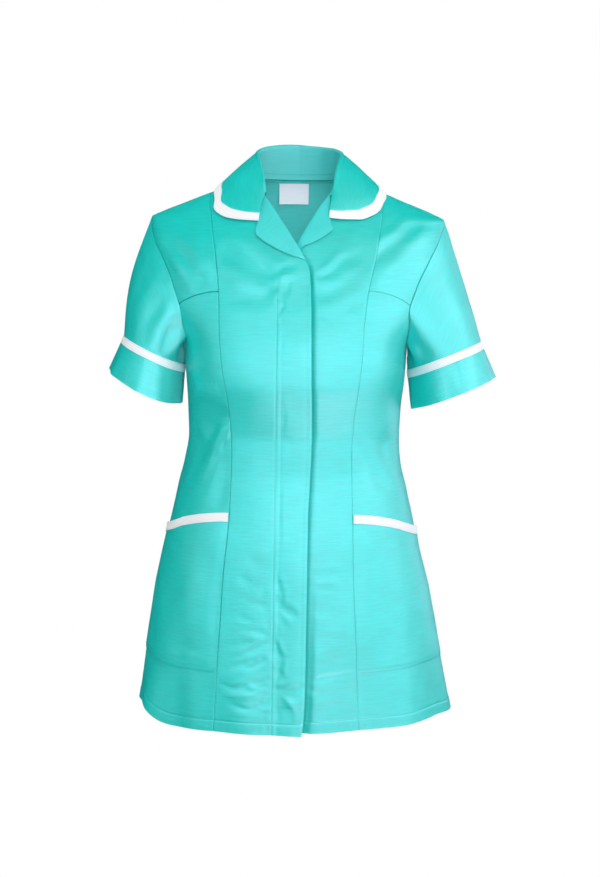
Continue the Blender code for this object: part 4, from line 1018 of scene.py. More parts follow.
def pocket_grid(side, top, low, rows):
    """Grid over the lower side panel, on the panel's own columns, between two rows of heights."""
    panel = side_lower_grid(side)
    inset = math.radians(POCKET_INSET) * side
    lines = []
    for t in eased(rows):
        z = blend(top, low, t)
        phi = np.array([
            np.interp(-height, -panel[:, j, 1], panel[:, j, 0]) for j, height in enumerate(z)
        ])
        phi[[0, -1]] += (inset, -inset)
        lines.append(path(phi, z))
    return np.array(lines)


def pocket_stand(grid):
    """The mouth stands off the panel a little, most in its middle."""
    share = np.linspace(0, 1, grid.shape[1])[None]
    below = np.clip((POCKET_TOP_Z[0] - grid[..., 1]) / POCKET_STAND_REACH, 0, 1)
    return POCKET_STAND * np.sin(math.pi * share) * (1 - below) ** 2


# ---------- the cloth's relief ----------
def reach(points, axis):
    """Distance along the cloth from a grid's first line and from its last, in millimetres."""
    step = np.linalg.norm(np.diff(points, axis=axis), axis=-1)
    gone = np.insert(np.cumsum(step, axis=axis), 0, 0, axis=axis)
    return gone, np.take(gone, [-1], axis=axis) - gone


def edge_distances(points):
    """For each edge of a grid: distance from it, and distance along it."""
    from_top, from_bottom = reach(points, 0)
    from_left, from_right = reach(points, 1)
    return {
        "top": (from_top, from_left),
        "bottom": (from_bottom, from_left),
        "left": (from_left, from_top),
        "right": (from_right, from_top),
    }


def pucker_wave(along, length=PUCKER_LENGTH):
    """An uneven row of small gathers along a seam."""
    beat = 0.55 + 0.45 * np.sin(along / 41 + 1.3) * np.sin(along / 97)
    return beat * np.sin(2 * math.pi * along / length + 1.8 * np.sin(along / 29))


def seam_relief(away, edges, strength=1.0):
    total = 0.0
    for name in edges:
        distance, along = away[name]
        groove = -SEAM_DIP * strength * bell(distance, SEAM_WIDTH)
        puff = SEAM_PUFF * bell(distance - SEAM_PUFF_AT, SEAM_PUFF_WIDTH)
        fade = np.exp(-distance / PUCKER_REACH) * (1 - bell(distance, PUCKER_START))
        total = total + groove + puff + PUCKER * pucker_wave(along) * fade
    return total


def hem_relief(distance, along):
    """The turned-up hem: its stitch line, its step and its small gathers."""
    from_stitches = distance - HEM_DEPTH
    turned = HEM_STEP * ramp(-from_stitches, 0, HEM_STEP_WIDTH)
    fade = bell(distance - HEM_DEPTH * 0.55, HEM_DEPTH * 0.5)
    height, length = HEM_GATHERS
    return bells(from_stitches, HEM_GROOVE) + turned + height * pucker_wave(along, length) * fade


def placket_relief(x, z, edge_distance):
    """On the right front: its long stitch line, the soft line beside it and the folded edge."""
    line = x - PLACKET_STITCH
    low, all_down = (height * pucker_wave(-z, length) for height, length in PLACKET_GATHERS)
    beside, gap = (bell(line, width) for width in GATHERS_BESIDE)
    gathers = (low * ramp(-z, *PLACKET_LOW) + all_down) * beside * (1 - gap)
    relief = bells(line, PLACKET_LINE) + gathers + bells(edge_distance, PLACKET_EDGE)
    return ramp(-z, *PLACKET_STARTS) * relief


def uneven(points):
    total = 0.0
    for x, y, z, phase, height in UNEVEN:
        turn = points[..., 0] / x + points[..., 1] / y + points[..., 2] / z
        total = total + height * np.sin(2 * math.pi * turn + phase)
    return total


def puffed(share):
    """How round a trim is across its width: 0 at its edges, 1 in its middle."""
    return np.sin(math.pi * share)[:, None] ** 0.5


def crease_relief(points, line, width, height, steep=0):
    """A soft trough or ridge along a line in space, fading at its ends."""
    margin = CREASE["reach"] * width
    near = ((points > line.min(0) - margin) & (points < line.max(0) + margin)).all(-1)
    total = np.zeros(points.shape[:-1])
    cloth = points[near]
    if not len(cloth):
        return total
    best = np.full(len(cloth), np.inf)
    at, below = np.zeros(len(cloth)), np.zeros(len(cloth), bool)
    for k, (start, end) in enumerate(zip(line[:-1], line[1:])):
        way = end - start
        t = np.clip((cloth - start) @ way / (way @ way), 0, 1)
        off = cloth - start - t[:, None] * way
        distance = np.linalg.norm(off, axis=-1)
        closer = distance < best
        best[closer] = distance[closer]
        below[closer] = ((np.cross(way, off) * cloth)[:, :2].sum(-1) < 0)[closer]
        at[closer] = ((k + t) / (len(line) - 1))[closer]
    taper = np.sin(math.pi * at) ** CREASE["taper"]
    x, y, z = cloth.T / width
    wander = np.sin(0.9 * x + 1.1 * z + height) * np.sin(0.5 * z - 0.7 * y)
    best = best + CREASE["wander"] * width * wander
    wide = width * (0.75 + 0.35 * taper)
    if steep:
        wide = wide * np.where(below == (steep > 0), CREASE["steep"], CREASE["gentle"])
    rim = CREASE["rim"] * bell(best - CREASE["rim_at"] * wide, CREASE["rim_width"] * wide)
    patchy = 0.8 + 0.35 * np.sin(0.6 * x - 0.8 * z + 3 * width)
    total[near] = height * (bell(best, wide) - rim) * taper * patchy
    return total


def body_creases(node, points):
    """A panel's creases. Its troughs together stay within a depth that grows to the sides."""
    total = 0.0
    for line, *row in CREASES.get(node, ()):
        x, z = np.array(line, float).T
        line = through(torso(angle_at(x, z, node == "back"), z), CREASE_STEPS)
        total = total + crease_relief(points, line, *row)
    middle, sides = DEEPEST
    deepest = middle + (sides - middle) * ramp(np.abs(points[..., 0]), *DEEPEST_FROM)
    return np.where(total < 0, deepest * np.tanh(total / deepest), total)


# ---------- drawing the cloth ----------
SURFACES = {}                       # faces and distances of each piece that is stitched or shaded
TRIMS = []                          # the two faces of each trim


def grid_normal(points, ring=False):
    if ring:
        around = np.roll(points, -1, axis=1) - np.roll(points, 1, axis=1)
    else:
        around = np.gradient(points, axis=1)
    return unit(np.cross(around, np.gradient(points, axis=0)))


def quads_of(index, back, ring):
    """Faces of a closed wall between two grids of point numbers."""
    if ring:
        index, back = (np.concatenate([grid, grid[:, :1]], 1) for grid in (index, back))

    def strip(a, b):
        return np.stack([a[..., :-1], a[..., 1:], b[..., 1:], b[..., :-1]], -1).reshape(-1, 4)

    parts = [strip(index[:-1], index[1:]), strip(back[1:], back[:-1])]
    parts += [strip(back[0], index[0]), strip(index[-1], back[-1])]
    if not ring:
        parts += [strip(index[:, 0], back[:, 0]), strip(back[:, -1], index[:, -1])]
    return np.concatenate(parts)


def volume_of(points, quads):
    a, b, c, d = (points[quads[:, k]] for k in range(4))
    return ((a * np.cross(b, c)).sum() + (a * np.cross(c, d)).sum()) / 6


def placed(name, data):
    obj = bpy.data.objects.new(name, data)
    bpy.context.scene.collection.objects.link(obj)
    return obj


def mesh_object(name, points, quads, materials, flat=None, sides=None):
    """A piece from points in millimetres and four-cornered faces, turned to face outwards."""
    if volume_of(points, quads) < 0:
        quads = quads[:, ::-1]
    mesh = bpy.data.meshes.new(name)
    mesh.vertices.add(len(points))
    mesh.vertices.foreach_set("co", (points * MM).astype(np.float32).ravel())
    mesh.loops.add(quads.size)
    mesh.loops.foreach_set("vertex_index", quads.astype(np.int32).ravel())
    mesh.polygons.add(len(quads))
    mesh.polygons.foreach_set("loop_start", np.arange(0, quads.size, 4, dtype=np.int32))
    mesh.update(calc_edges=True)
    if flat is not None:
        layer = mesh.attributes.new("flat", "FLOAT_VECTOR", "POINT")
        layer.data.foreach_set("vector", (flat * MM).astype(np.float32).ravel())
    mesh.shade_smooth()
    mesh.set_sharp_from_angle(angle=math.radians(SHARP_ANGLE))
    for material in materials:
        mesh.materials.append(material)
    if sides is not None:
        mesh.polygons.foreach_set("material_index", sides)
    obj = placed(name, mesh)
    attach(obj, "root")
    return obj


def cloth_piece(node, outer, inner, looks, slot="cloth", ring=False, faces=None, reversed_rows=0):
    """A closed shell of cloth between two grids of points, which stands for a CAD node.

    reversed_rows: how many of the outer face's rows show the cloth's reverse.
    """
    rows, columns = outer.shape[:2]
    points = np.concatenate([outer.reshape(-1, 3), inner.reshape(-1, 3)])
    index = np.arange(rows * columns).reshape(rows, columns)
    quads = quads_of(index, index + rows * columns, ring)
    across = reach(outer, 1)[0]
    down = reach(outer, 0)[0]
    if "rest" in SURFACES.get(node, ()):
        down = -SURFACES[node]["rest"][..., 2]
    if slot == "trim":
        TRIMS.append((outer, inner))
    flat = np.stack([across - across[:, columns // 2 : columns // 2 + 1], -down, 0 * down], -1)
    flat = np.concatenate([flat.reshape(-1, 3)] * 2)
    faces = faces or (slot, "reverse" if slot == "cloth" else slot)
    walls = (rows - 1) * (columns if ring else columns - 1)
    sides = np.zeros(len(quads), dtype=np.int32)
    sides[walls : 2 * walls] = 1
    sides[: reversed_rows * (columns - 1)] = 1
    materials = [looks[face] for face in faces]
    obj = mesh_object(f"{node}_cloth", points, quads, materials, flat, sides)
    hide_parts(node)


def pulled_in(outer, inner, edges, by):
    """Moves the named edges of a wall's two grids inwards, so that a seam keeps its gap."""
    for name in edges:
        near, far = {
            "top": (np.s_[0, :], np.s_[1, :]),
            "bottom": (np.s_[-1, :], np.s_[-2, :]),
            "left": (np.s_[:, 0], np.s_[:, 1]),
            "right": (np.s_[:, -1], np.s_[:, -2]),
        }[name]
        move = unit(outer[far] - outer[near]) * by
        outer[near] += move
        inner[near] += move
    return outer, inner


# ---------- the body's panels ----------
def body_piece(node, grid, out, looks, seams=(), hem=False, dip=1.0, slot="cloth"):
    """A piece that lies on the body. seams names the grid's edges that are sewn."""
    grid = raised_hem(grid)
    phi, z = grid[..., 0], grid[..., 1]
    rest, normal = torso(phi, z), torso_normal(phi, z)
    away = edge_distances(rest)
    rise = out + uneven(rest) + seam_relief(away, seams, dip) + body_creases(node, rest)
    depth = np.full(phi.shape, THICK if slot == "trim" else THIN)
    if hem:
        distance, along = away["bottom"]
        rise = rise + hem_relief(distance, along)
        depth = depth + (THICK - THIN) * ramp(-distance, -HEM_DEPTH - 1, -HEM_DEPTH + 1)
    outer = rest + normal * rise[..., None]
    inner = outer - normal * depth[..., None]
    outer, inner = pulled_in(outer, inner, seams, SEAM_GAP / 2)
    SURFACES[node] = {"outer": outer, "inner": inner, "out": normal, "rest": rest, "away": away}
    cloth_piece(node, outer, inner, looks, slot)


def make_fronts(side, looks):
    label, dip = SIDE_NAMES[side], SEAM_SHARE[side]
    grid = centre_front_grid(side)
    phi, z = grid[..., 0], grid[..., 1]
    rest = torso(phi, z)
    out = front_offset(side, phi, z)
    if side == RIGHT:
        out = out + placket_relief(rest[..., 0], z, edge_distances(rest)["right"][0])
    else:
        beside = rest[..., 0] - front_edge_x(RIGHT, z)
        for start, end, at, width, depth in EDGE_HOLLOWS:
            out = out - depth * ramp(-z, start, end) * bell(beside - at, width)
    body_piece(f"front_{label}", grid, out, looks, ("top", "left"), True, dip)
    seams = ("top", "bottom", "left", "right")
    body_piece(f"side_upper_{label}", side_upper_grid(side), 0, looks, seams, False, dip)
    seams = ("top", "left", "right")
    body_piece(f"side_lower_{label}", side_lower_grid(side), 0, looks, seams, True, dip)


# ---------- sleeves, trims and cuffs ----------
def sleeve_line(rows, turn, line):
    """Points of a sleeve's crease, from (turn, share) pairs."""
    around = np.append(turn, 2 * math.pi)
    ends = []
    for angle, share in line:
        row = rows[int(round(share * (len(rows) - 1)))]
        ends.append(interpolated(math.radians(angle % 360), around, np.concatenate([row, row[:1]])))
    return through(ends, CREASE_STEPS)


def tube_piece(node, rows, looks, rise, thick, slot="cloth"):
    normal = grid_normal(rows, ring=True)
    outward = rows - rows.mean(axis=1, keepdims=True)
    normal = normal * np.sign((normal * outward).sum())
    outer = rows + normal * rise[..., None]
    inner = outer - normal * thick
    cloth_piece(node, *pulled_in(outer, inner, ("top", "bottom"), TRIM_GAP), looks, slot, ring=True)


def make_sleeve(side, looks):
    label = SIDE_NAMES[side]
    ring = torso(*armhole_ring(side).T)
    turn = ring_turns(ring)
    rows = sleeve_rows(side, ring, turn)
    lines = [(sleeve_line(rows, turn, line), *row) for line, *row in SLEEVE_CREASES[side]]

    def creases(points):
        return sum(crease_relief(points, *row) for row in lines)

    def rings(shares):
        return np.array([sleeve_ring(side, share, turn) for share in shares])

    away = edge_distances(rows)
    seams = seam_relief(away, ("top",)) + seam_relief(away, ("bottom",), TRIM_SEAM_DIP)
    tube_piece(f"sleeve_{label}", rows, looks, uneven(rows) + creases(rows) + seams, THIN)
    share = eased(TRIM_ROWS)
    rows = rings(TRIM_SHARE * share)
    rise = uneven(rows) + SLEEVE_TRIM_PUFF * puffed(share) + 0.5 * creases(rows)
    tube_piece(f"sleeve_trim_{label}", rows, looks, rise, THICK, "trim")
    rows = rings(TRIM_SHARE + (1 - TRIM_SHARE) * eased(CUFF_ROWS))
    ripple = sum(
        height * np.sin(count * turn + by_side * side + phase)
        for height, count, by_side, phase in CUFF_WAVES
    ) * np.linspace(0, 1, len(rows))[:, None]
    seam = seam_relief(edge_distances(rows), ("top",), TRIM_SEAM_DIP)
    tube_piece(f"cuff_{label}", rows, looks, uneven(rows) + CUFF_LIFT + ripple + seam, THICK)


# ---------- collar, lapels, pockets, label ----------
def make_collar(looks):
    middle = collar_grid()
    normal = grid_normal(middle)
    rows = STAND_STEPS + BEND_STEPS + FALL_STEPS
    height, turn = COLLAR_WAVE
    down = np.linspace(0, 1, len(middle))[:, None]
    rise = uneven(middle) + height * np.sin(np.linspace(0, turn, middle.shape[1])) * down
    away = edge_distances(middle[: rows + 1])["bottom"][0]
    on_fall = ramp(np.arange(rows + 1), *(rows - step for step in COLLAR_GROOVE_ROWS))[:, None]
    rise[: rows + 1] += bells(away, COLLAR_GROOVE) * on_fall
    out = middle + normal * rise[..., None]
    lift = normal * THIN / 2
    faces = (out + lift)[: rows + 1], (out - lift)[: rows + 1]
    outer, inner = pulled_in(*faces, ("bottom",), COLLAR_TRIM_GAP)
    SURFACES["collar"] = {"outer": outer, "inner": inner}
    cloth_piece("collar", outer, inner, looks, reversed_rows=STAND_STEPS + BEND_STEPS // 3)
    share = np.linspace(0, 1, len(middle) - rows)
    height, round_off = COLLAR_TRIM_PUFF
    puff = height * puffed(np.clip(share * round_off, 0, 1))
    lift = normal[rows:] * (THICK / 2 + puff)[..., None]
    faces = pulled_in(out[rows:] + lift, out[rows:] - lift, ("top",), COLLAR_TRIM_GAP)
    cloth_piece("collar_trim", *faces, looks, "trim")


def make_lapel(side, looks):
    """A lapel lies on its front and rolls round the front's folded edge."""
    grid = lapel_grid(side)
    phi, z = grid[..., 0], grid[..., 1]
    out = front_offset(side, phi, z)
    rest, normal = torso(phi, z), torso_normal(phi, z)
    away, down = reach(rest, 1)[0], reach(rest, 0)[0]
    share, whole = LAPEL_TOP_LIFT
    lift = LAPEL_LIFT * ramp(away, *LAPEL_LIFT_OVER) * (share + (1 - share) * ramp(down, 0, whole))
    top = LAPEL_GAP + CLOTH
    height, over = LAPEL_ROUND
    rise = out + top + height * ramp(away, 0, over) + lift + uneven(rest)
    outer = rest + normal * rise[..., None]
    outwards, up = unit(rest[:, :1] - rest[:, 1:2]), normal[:, :1]
    low = -(CLOTH + LAPEL_UNDER)
    radius = (top - low) / 2
    centre = rest[:, :1] - outwards * radius + up * (out[:, :1, None] + low + radius)
    angles = np.linspace(-math.pi / 2, math.pi / 2, LAPEL_ROLL_STEPS + 1)[None, :-1, None]
    roll = arc(centre, outwards, up, radius, angles) + uneven(rest)[:, :1, None] * up
    inside = roll[:, :1] - outwards * np.linspace(*LAPEL_FACING)[None, :, None]
    first = int(np.argmax(away[0] > radius))
    outer = np.concatenate([inside, roll, outer[:, first:]], 1)
    middle = grid_normal(outer)
    if (middle[:, -1] * normal[:, -1]).sum() < 0:
        middle = -middle
    node = f"lapel_{SIDE_NAMES[side]}"
    cloth_piece(node, outer, outer - middle * THIN, looks, faces=("facing", "cloth"))


def make_pocket(side, looks):
    label = SIDE_NAMES[side]
    mouth = blend(*POCKET_TOP_Z, panel_shares() ** POCKET_TOP_POWER)
    grid = pocket_grid(side, mouth - POCKET_TRIM, POCKET_BOTTOM_Z, POCKET_ROWS)
    away = edge_distances(torso(grid[..., 0], grid[..., 1]))
    out = LAY_GAP + CLOTH + pocket_stand(grid)
    out = out + sum(bells(away[edge][0], rows) for edge, rows in POCKET_EDGES.items())
    body_piece(f"pocket_{label}", grid, out, looks, ("top",), dip=TRIM_SEAM_DIP)
    grid = pocket_grid(side, mouth, mouth - POCKET_TRIM, POCKET_TRIM_ROWS)
    puff = POCKET_TRIM_PUFF * puffed(eased(POCKET_TRIM_ROWS))
    out = LAY_GAP + DOUBLED + pocket_stand(grid) + puff
    body_piece(f"pocket_trim_{label}", grid, out, looks, slot="trim")


def make_label(looks):
    """A blank label that hangs inside the back neck from its seam."""
    columns, rows = LABEL_GRID
    x = np.linspace(*LABEL["x"], columns + 1)[None]
    z = np.linspace(*LABEL["z"], rows + 1)[:, None]
    phi = angle_at(x, z, back=True)
    down = np.linspace(0, 1, rows + 1)[:, None]
    across = np.linspace(-1, 1, columns + 1)[None]
    out = -(CLOTH + LAY_GAP) - LABEL["tilt"] * down - LABEL["bow"] * across**2 * down
    normal = torso_normal(phi, z)
    outer = torso(phi, z) + normal * out[..., None]
    cloth_piece("label", outer, outer - normal * LABEL["thickness"], looks, "label")


# ---------- stitching ----------
STITCHES = {"cloth": [], "trim": []}    # (start, end, up, radius) of each, in millimetres


def stitch_line(points, normals, slot="cloth", length=STITCH_LENGTH, gap=STITCH_GAP):
    """Stitches along a line that lies on the cloth."""
    gone = np.insert(np.cumsum(np.linalg.norm(np.diff(points, axis=0), axis=1)), 0, 0)
    starts = np.arange(1.0, gone[-1] - length, length + gap)
    first, last = (interpolated(at, gone, points) for at in (starts, starts + length))
    up = unit(interpolated(starts + length / 2, gone, normals))
    for start, end, way in zip(first + up * STITCH_LIFT, last + up * STITCH_LIFT, up):
        STITCHES[slot].append((start, end, way, STITCH_RADIUS))


def level_line(points, normals, field, value):
    """Where a field first crosses a value, going down each column of a grid."""
    found = []
    for j in range(field.shape[1]):
        above = field[:, j] > value
        change = np.flatnonzero(above[:-1] != above[1:])
        if len(change):
            i = change[0]
            t = (value - field[i, j]) / (field[i + 1, j] - field[i, j])
            found.append([blend(grid[i, j], grid[i + 1, j], t) for grid in (points, normals)])
    return np.array(found).transpose(1, 0, 2)


def stitch_bottom(node, distance):
    """A line of stitches above a piece's bottom edge."""
    piece = SURFACES[node]
    stitch_line(*level_line(piece["outer"], piece["out"], piece["away"]["bottom"][0], distance))


def stitch_body():
    """Hems, the placket's long line, the pockets' bottoms and the neck seam inside the back."""
    for kind in ("front", "side_lower"):
        for label in SIDE_NAMES.values():
            stitch_bottom(f"{kind}_{label}", HEM_DEPTH)
    stitch_bottom("back", HEM_DEPTH)
    piece = SURFACES["front_right"]
    low = piece["rest"][:, piece["rest"].shape[1] // 2, 2] < LINE_TOP_Z
    outer, out, rest = (piece[key][low].transpose(1, 0, 2) for key in ("outer", "out", "rest"))
    stitch_line(*level_line(outer, out, rest[..., 0], PLACKET_STITCH))
    for label in SIDE_NAMES.values():
        for distance in POCKET_STITCHES:
            stitch_bottom(f"pocket_{label}", distance)
    stitch_neck()


def stitch_neck():
    """Overlock loops inside the back's neck seam, and the line of stitches along it."""
    piece = SURFACES["back"]
    middle = np.abs(piece["rest"][0, :, 0]) < NECK_LOOPS["reach"]
    grids = [grid[:, middle] for grid in (piece["inner"], -piece["out"], piece["away"]["top"][0])]
    high, low = (level_line(*grids, depth) for depth in NECK_LOOPS["depths"])
    steps = int(np.linalg.norm(np.diff(high[0], axis=0), axis=1).sum() / NECK_LOOPS["pitch"])
    share, known = (np.linspace(0, 1, count) for count in (steps, len(high[0])))
    first, last, up = (interpolated(share, known, line) for line in (high[0], low[0], high[1]))
    for start, end, way in zip(first, last, up):
        lift = way * NECK_LOOPS["lift"]
        STITCHES["cloth"].append((start + lift, end + lift, way, NECK_LOOPS["radius"]))
    stitch_line(*level_line(*grids, NECK_LOOPS["line"]), "cloth", *NECK_LOOPS["line_stitch"])


def stitch_trims_and_collar():
    """White lines along both edges of each trim, and a line on the inner face of the stand."""
    for outer, inner in TRIMS:
        away = edge_distances(outer)
        for name in ("top", "bottom"):
            line = level_line(outer, unit(outer - inner), away[name][0], TRIM_STITCH)
            stitch_line(*line, slot="trim")
    outer, inner = SURFACES["collar"]["outer"], SURFACES["collar"]["inner"]
    back = np.s_[:, COLLAR_STEPS * 3 // 10 : -(COLLAR_STEPS * 3 // 10)]
    height = reach(outer, 0)[0]
    stitch_line(*level_line(outer[back], unit(outer - inner)[back], height[back], STAND_STITCH))


def make_copies(name, points, faces, look):
    """One piece of many equal bodies. points: those of each body, with the faces between them."""
    quads = np.array(faces) + points.shape[1] * np.arange(len(points))[:, None, None]
    mesh_object(name, points.reshape(-1, 3), quads.reshape(-1, 4), (look,))


def make_stitches(name, slot, look):
    """Stitches as one piece: each a short rounded capsule, flattened on the cloth."""
    start, end, up, radius = (np.array(values)[:, None] for values in zip(*STITCHES[slot]))
    way = end - start
    around = (np.arange(6) * math.pi / 3)[:, None]
    ring = np.cos(around) * unit(np.cross(way, up)) + STITCH_FLATNESS * np.sin(around) * up
    points = np.concatenate([
        start + way * t + radius[..., None] * size * ring for t, size in STITCH_PROFILE
    ], 1)
    faces = [
        (k + base, (k + 1) % 6 + base, (k + 1) % 6 + base + 6, k + base + 6)
        for base in (0, 6, 12) for k in range(6)
    ]
    faces += [(3, 2, 1, 0), (5, 4, 3, 0), (18, 19, 20, 21), (18, 21, 22, 23)]
    make_copies(name, points, faces, look)


def make_zip_teeth(looks):
    """Two rows of teeth that mesh in a chain down the front face of the zip's tape."""
    middle = sum(ZIP["x"]) / 2
    z = np.arange(ZIP["top_z"] - TOOTH["below_top"], HEM_Z + ZIP_END, -TOOTH["pitch"] / 2)
    x = middle + TOOTH["width"] * TOOTH["sideways"] * np.where(np.arange(len(z)) % 2, 1, -1)
    phi = angle_at(x, z)
    rest, normal = torso(phi, z), torso_normal(phi, z)
    out = front_offset(RIGHT, phi, z) - CLOTH - ZIP_GAP + TOOTH["height"] / 2 - TOOTH["sunk"]
    side = unit(np.cross([0, 0, 1.0], normal))
    axes = np.stack([side, unit(np.cross(normal, side)), normal], 1)
    corners = np.array([(a, b, c) for a in (-1, 1) for b in (-1, 1) for c in (-1, 1)]) / 2
    size = (TOOTH["width"], TOOTH["pitch"] * TOOTH["share"], TOOTH["height"])
    centre = rest + normal * out[:, None]
    points = centre[:, None] + np.einsum("ck,nkj->ncj", corners * size, axes)
    make_copies("zip_teeth", points, BOX_FACES, looks["teeth"])


# ---------- materials ----------
def feed(tree, node, inputs):
    """Sets a node's inputs, or links them to other nodes' outputs."""
    for name, value in inputs.items():
        if isinstance(value, bpy.types.NodeSocket):
            tree.links.new(value, node.inputs[name])
        else:
            node.inputs[name].default_value = value


def node_of(tree, kind, inputs=None, **values):
    node = tree.nodes.new(kind)
    for name, value in values.items():
        setattr(node, name, value)
    feed(tree, node, inputs or {})
    return node


def math_node(tree, operation, first, second=0.0):
    return node_of(tree, "ShaderNodeMath", {0: first, 1: second}, operation=operation).outputs[0]


def mixed(tree, first, first_share, second, second_share):
    """A weighted sum of two values."""
    parts = (
        math_node(tree, "MULTIPLY", value, share)
        for value, share in ((first, first_share), (second, second_share))
    )
    return math_node(tree, "ADD", *parts)


def waves(tree, distance, length):
    """A wave of one length, in metres, along a distance."""
    return math_node(tree, "SINE", math_node(tree, "MULTIPLY", distance, 2 * math.pi / length))


def new_material(name):
    material = bpy.data.materials.new(name)
    material.use_nodes = True
    return material, material.node_tree


def plain(name, roughness, specular, **settings):
    """A material of one shader. settings: more of its inputs, with _ for a space."""
    material, tree = new_material(name)
    inputs = {"Roughness": roughness, "Specular IOR Level": specular}
    inputs.update({key.replace("_", " "): value for key, value in settings.items()})
    feed(tree, tree.nodes["Principled BSDF"], inputs)
    return material


def woven(name, dark, light, roughness, specular, sheen, bump, threads, tint=WHITE, twill=None):
    """A woven cloth. threads: the weave's spacing in metres, across and down."""
    material = plain(
        name, roughness, specular,
        Sheen_Weight=sheen, Sheen_Roughness=SHEEN_ROUGHNESS, Sheen_Tint=tint,
    )
    tree = material.node_tree
    flat = node_of(tree, "ShaderNodeAttribute", attribute_name="flat").outputs["Vector"]
    across, down = node_of(tree, "ShaderNodeSeparateXYZ", {0: flat}).outputs[:2]
    stretch = node_of(
        tree, "ShaderNodeMapping", {"Scale": (*SLUB_SCALE, 1), "Vector": flat}, vector_type="POINT"
    ).outputs[0]
    slub, cloud = (
        node_of(tree, "ShaderNodeTexNoise", inputs, noise_dimensions="2D").outputs[0]
        for inputs in (dict(SLUB_NOISE, Vector=stretch), dict(CLOUD_NOISE, Vector=flat))
    )
    shade = mixed(tree, slub, SLUB_SHARE, cloud, 1 - SLUB_SHARE)
    colours = node_of(tree, "ShaderNodeValToRGB", {0: shade})
    for element, position, colour in zip(colours.color_ramp.elements, SHADE_ENDS, (dark, light)):
        element.position = position
        element.color = (*colour, 1)
    if twill:
        slope, pitch = twill
        slanted = math_node(tree, "ADD", across, math_node(tree, "MULTIPLY", down, slope))
        height = waves(tree, slanted, pitch)
    else:
        over, under = (waves(tree, way, pitch) for way, pitch in zip((across, down), threads))
        height = math_node(tree, "MULTIPLY", over, under)
    height = mixed(tree, height, WEAVE_HEIGHT, slub, SLUB_HEIGHT)
    inputs = {"Strength": bump, "Distance": BUMP_DISTANCE, "Height": height}
    lift = node_of(tree, "ShaderNodeBump", inputs)
    shaded = {"Base Color": colours.outputs[0], "Normal": lift.outputs[0]}
    feed(tree, tree.nodes["Principled BSDF"], shaded)
    return material


def make_looks():
    looks = {key: woven(*row) for key, row in WOVEN_LOOKS.items()}
    for key, (name, colour, roughness, specular, metallic) in PLAIN_LOOKS.items():
        looks[key] = plain(name, roughness, specular, Base_Color=(*colour, 1), Metallic=metallic)
    return looks


# ---------- camera, light and stage ----------
def set_camera():
    camera = placed("camera", bpy.data.cameras.new("camera"))
    elevation, roll = math.radians(CAMERA_ELEVATION), math.radians(CAMERA_ROLL)
    back_way = Vector((0, -math.cos(elevation), math.sin(elevation)))
    camera.location = Vector(CAMERA_TARGET) + back_way * CAMERA_DISTANCE
    turn = (-back_way).to_track_quat("-Z", "Y").to_matrix() @ Matrix.Rotation(roll, 3, "Z")
    camera.rotation_euler = turn.to_euler()
    camera.data.lens = CAMERA_LENS
    camera.data.sensor_width = 36
    camera.data.clip_end = 50
    bpy.context.scene.camera = camera


def set_world():
    """White to the camera, and an even light of its own strength on the cloth."""
    world = bpy.data.worlds.new("studio")
    bpy.context.scene.world = world
    world.use_nodes = True
    tree = world.node_tree
    lit = tree.nodes["Background"]
    feed(tree, lit, {"Color": WHITE, "Strength": WORLD_LIGHT})
    seen = node_of(tree, "ShaderNodeBackground", {"Color": WHITE})
    ray = node_of(tree, "ShaderNodeLightPath").outputs["Is Camera Ray"]
    mix = node_of(tree, "ShaderNodeMixShader", {0: ray, 1: lit.outputs[0], 2: seen.outputs[0]})
    feed(tree, tree.nodes["World Output"], {"Surface": mix.outputs[0]})
    world.cycles_visibility.glossy = False


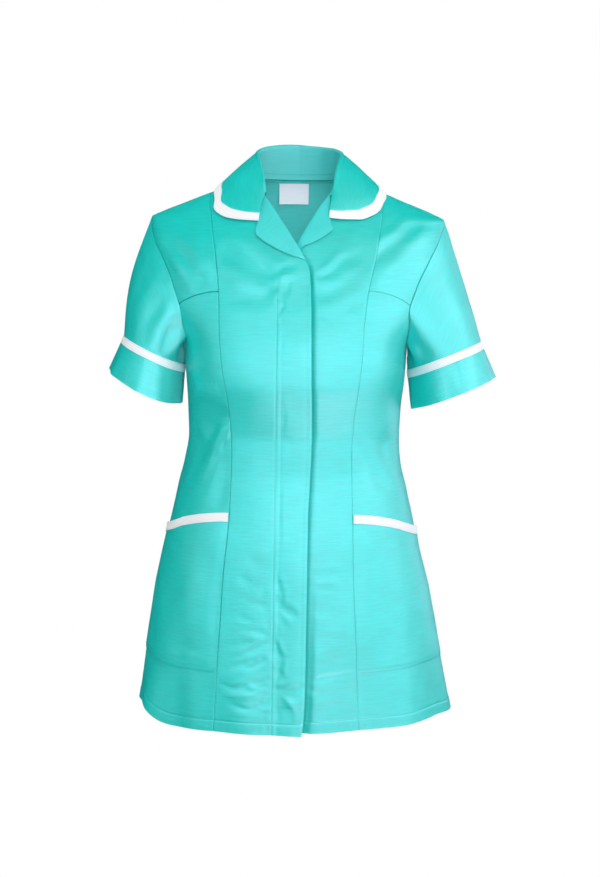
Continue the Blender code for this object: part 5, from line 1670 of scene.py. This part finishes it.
def softbox(name, azimuth, height, distance, size, watts, glossy=False):
    """A soft light turned to the tunic's middle. azimuth is from the front to +x.

    It is seen in gloss only (glossy) or in diffuse light only.
    """
    data = bpy.data.lights.new(name, "AREA")
    data.shape = "RECTANGLE"
    data.size, data.size_y = size
    data.energy = watts
    data.color = COOL if glossy else NEUTRAL
    data.use_shadow = name not in UNSHADED
    light = placed(name, data)
    a = math.radians(azimuth)
    light.location = (math.sin(a) * distance, -math.cos(a) * distance, height)
    way = light.location - Vector(CAMERA_TARGET)
    light.rotation_euler = way.to_track_quat("Z", "Y").to_euler()
    light.visible_camera = False
    light.visible_diffuse = not glossy
    light.visible_glossy = glossy
    return light


def set_lights():
    for row in DIFFUSE_LIGHTS:
        softbox(*row)
    for row in GLOSS_LIGHTS:
        softbox(*row, glossy=True)
    light = softbox("neck_light", 0, 0, 1, (NECK_LIGHT["size"],) * 2, NECK_LIGHT["watts"])
    light.location = NECK_LIGHT["at"]
    light.rotation_euler = Vector(NECK_LIGHT["towards"]).to_track_quat("-Z", "Y").to_euler()


def set_stage():
    mesh = bpy.data.meshes.new("floor")
    signs = ((-1, -1), (1, -1), (1, 1), (-1, 1))
    corners = [(x * FLOOR_REACH, y * FLOOR_REACH, FLOOR_Z) for x, y in signs]
    mesh.from_pydata(corners, [], [(0, 1, 2, 3)])
    floor = placed("floor", mesh)
    material, tree = new_material("floor_white")
    glow = node_of(tree, "ShaderNodeEmission", {"Strength": 1.0})
    feed(tree, tree.nodes["Material Output"], {"Surface": glow.outputs[0]})
    mesh.materials.append(material)
    floor.visible_diffuse = floor.visible_glossy = floor.visible_shadow = False


def main():
    bpy.context.scene.view_settings.view_transform = "Standard"
    looks = make_looks()
    for side in (RIGHT, LEFT):
        make_fronts(side, looks)
        make_sleeve(side, looks)
        make_lapel(side, looks)
        make_pocket(side, looks)
    body_piece("back", back_grid(), 0, looks, ("left", "right"), hem=True)
    make_collar(looks)
    make_label(looks)
    for node, look in (("zip_tape", "zip"), ("zip_slider", "slider")):
        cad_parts[node].material_slots[0].material = looks[look]
    stitch_body()
    stitch_trims_and_collar()
    # the cloth's stitches use the darkened thread: painted shade along each stitch line
    make_stitches("stitching", "cloth", looks["thread"])
    make_stitches("trim_stitching", "trim", looks["white_thread"])
    make_zip_teeth(looks)
    set_camera()
    set_world()
    set_lights()
    set_stage()


main()
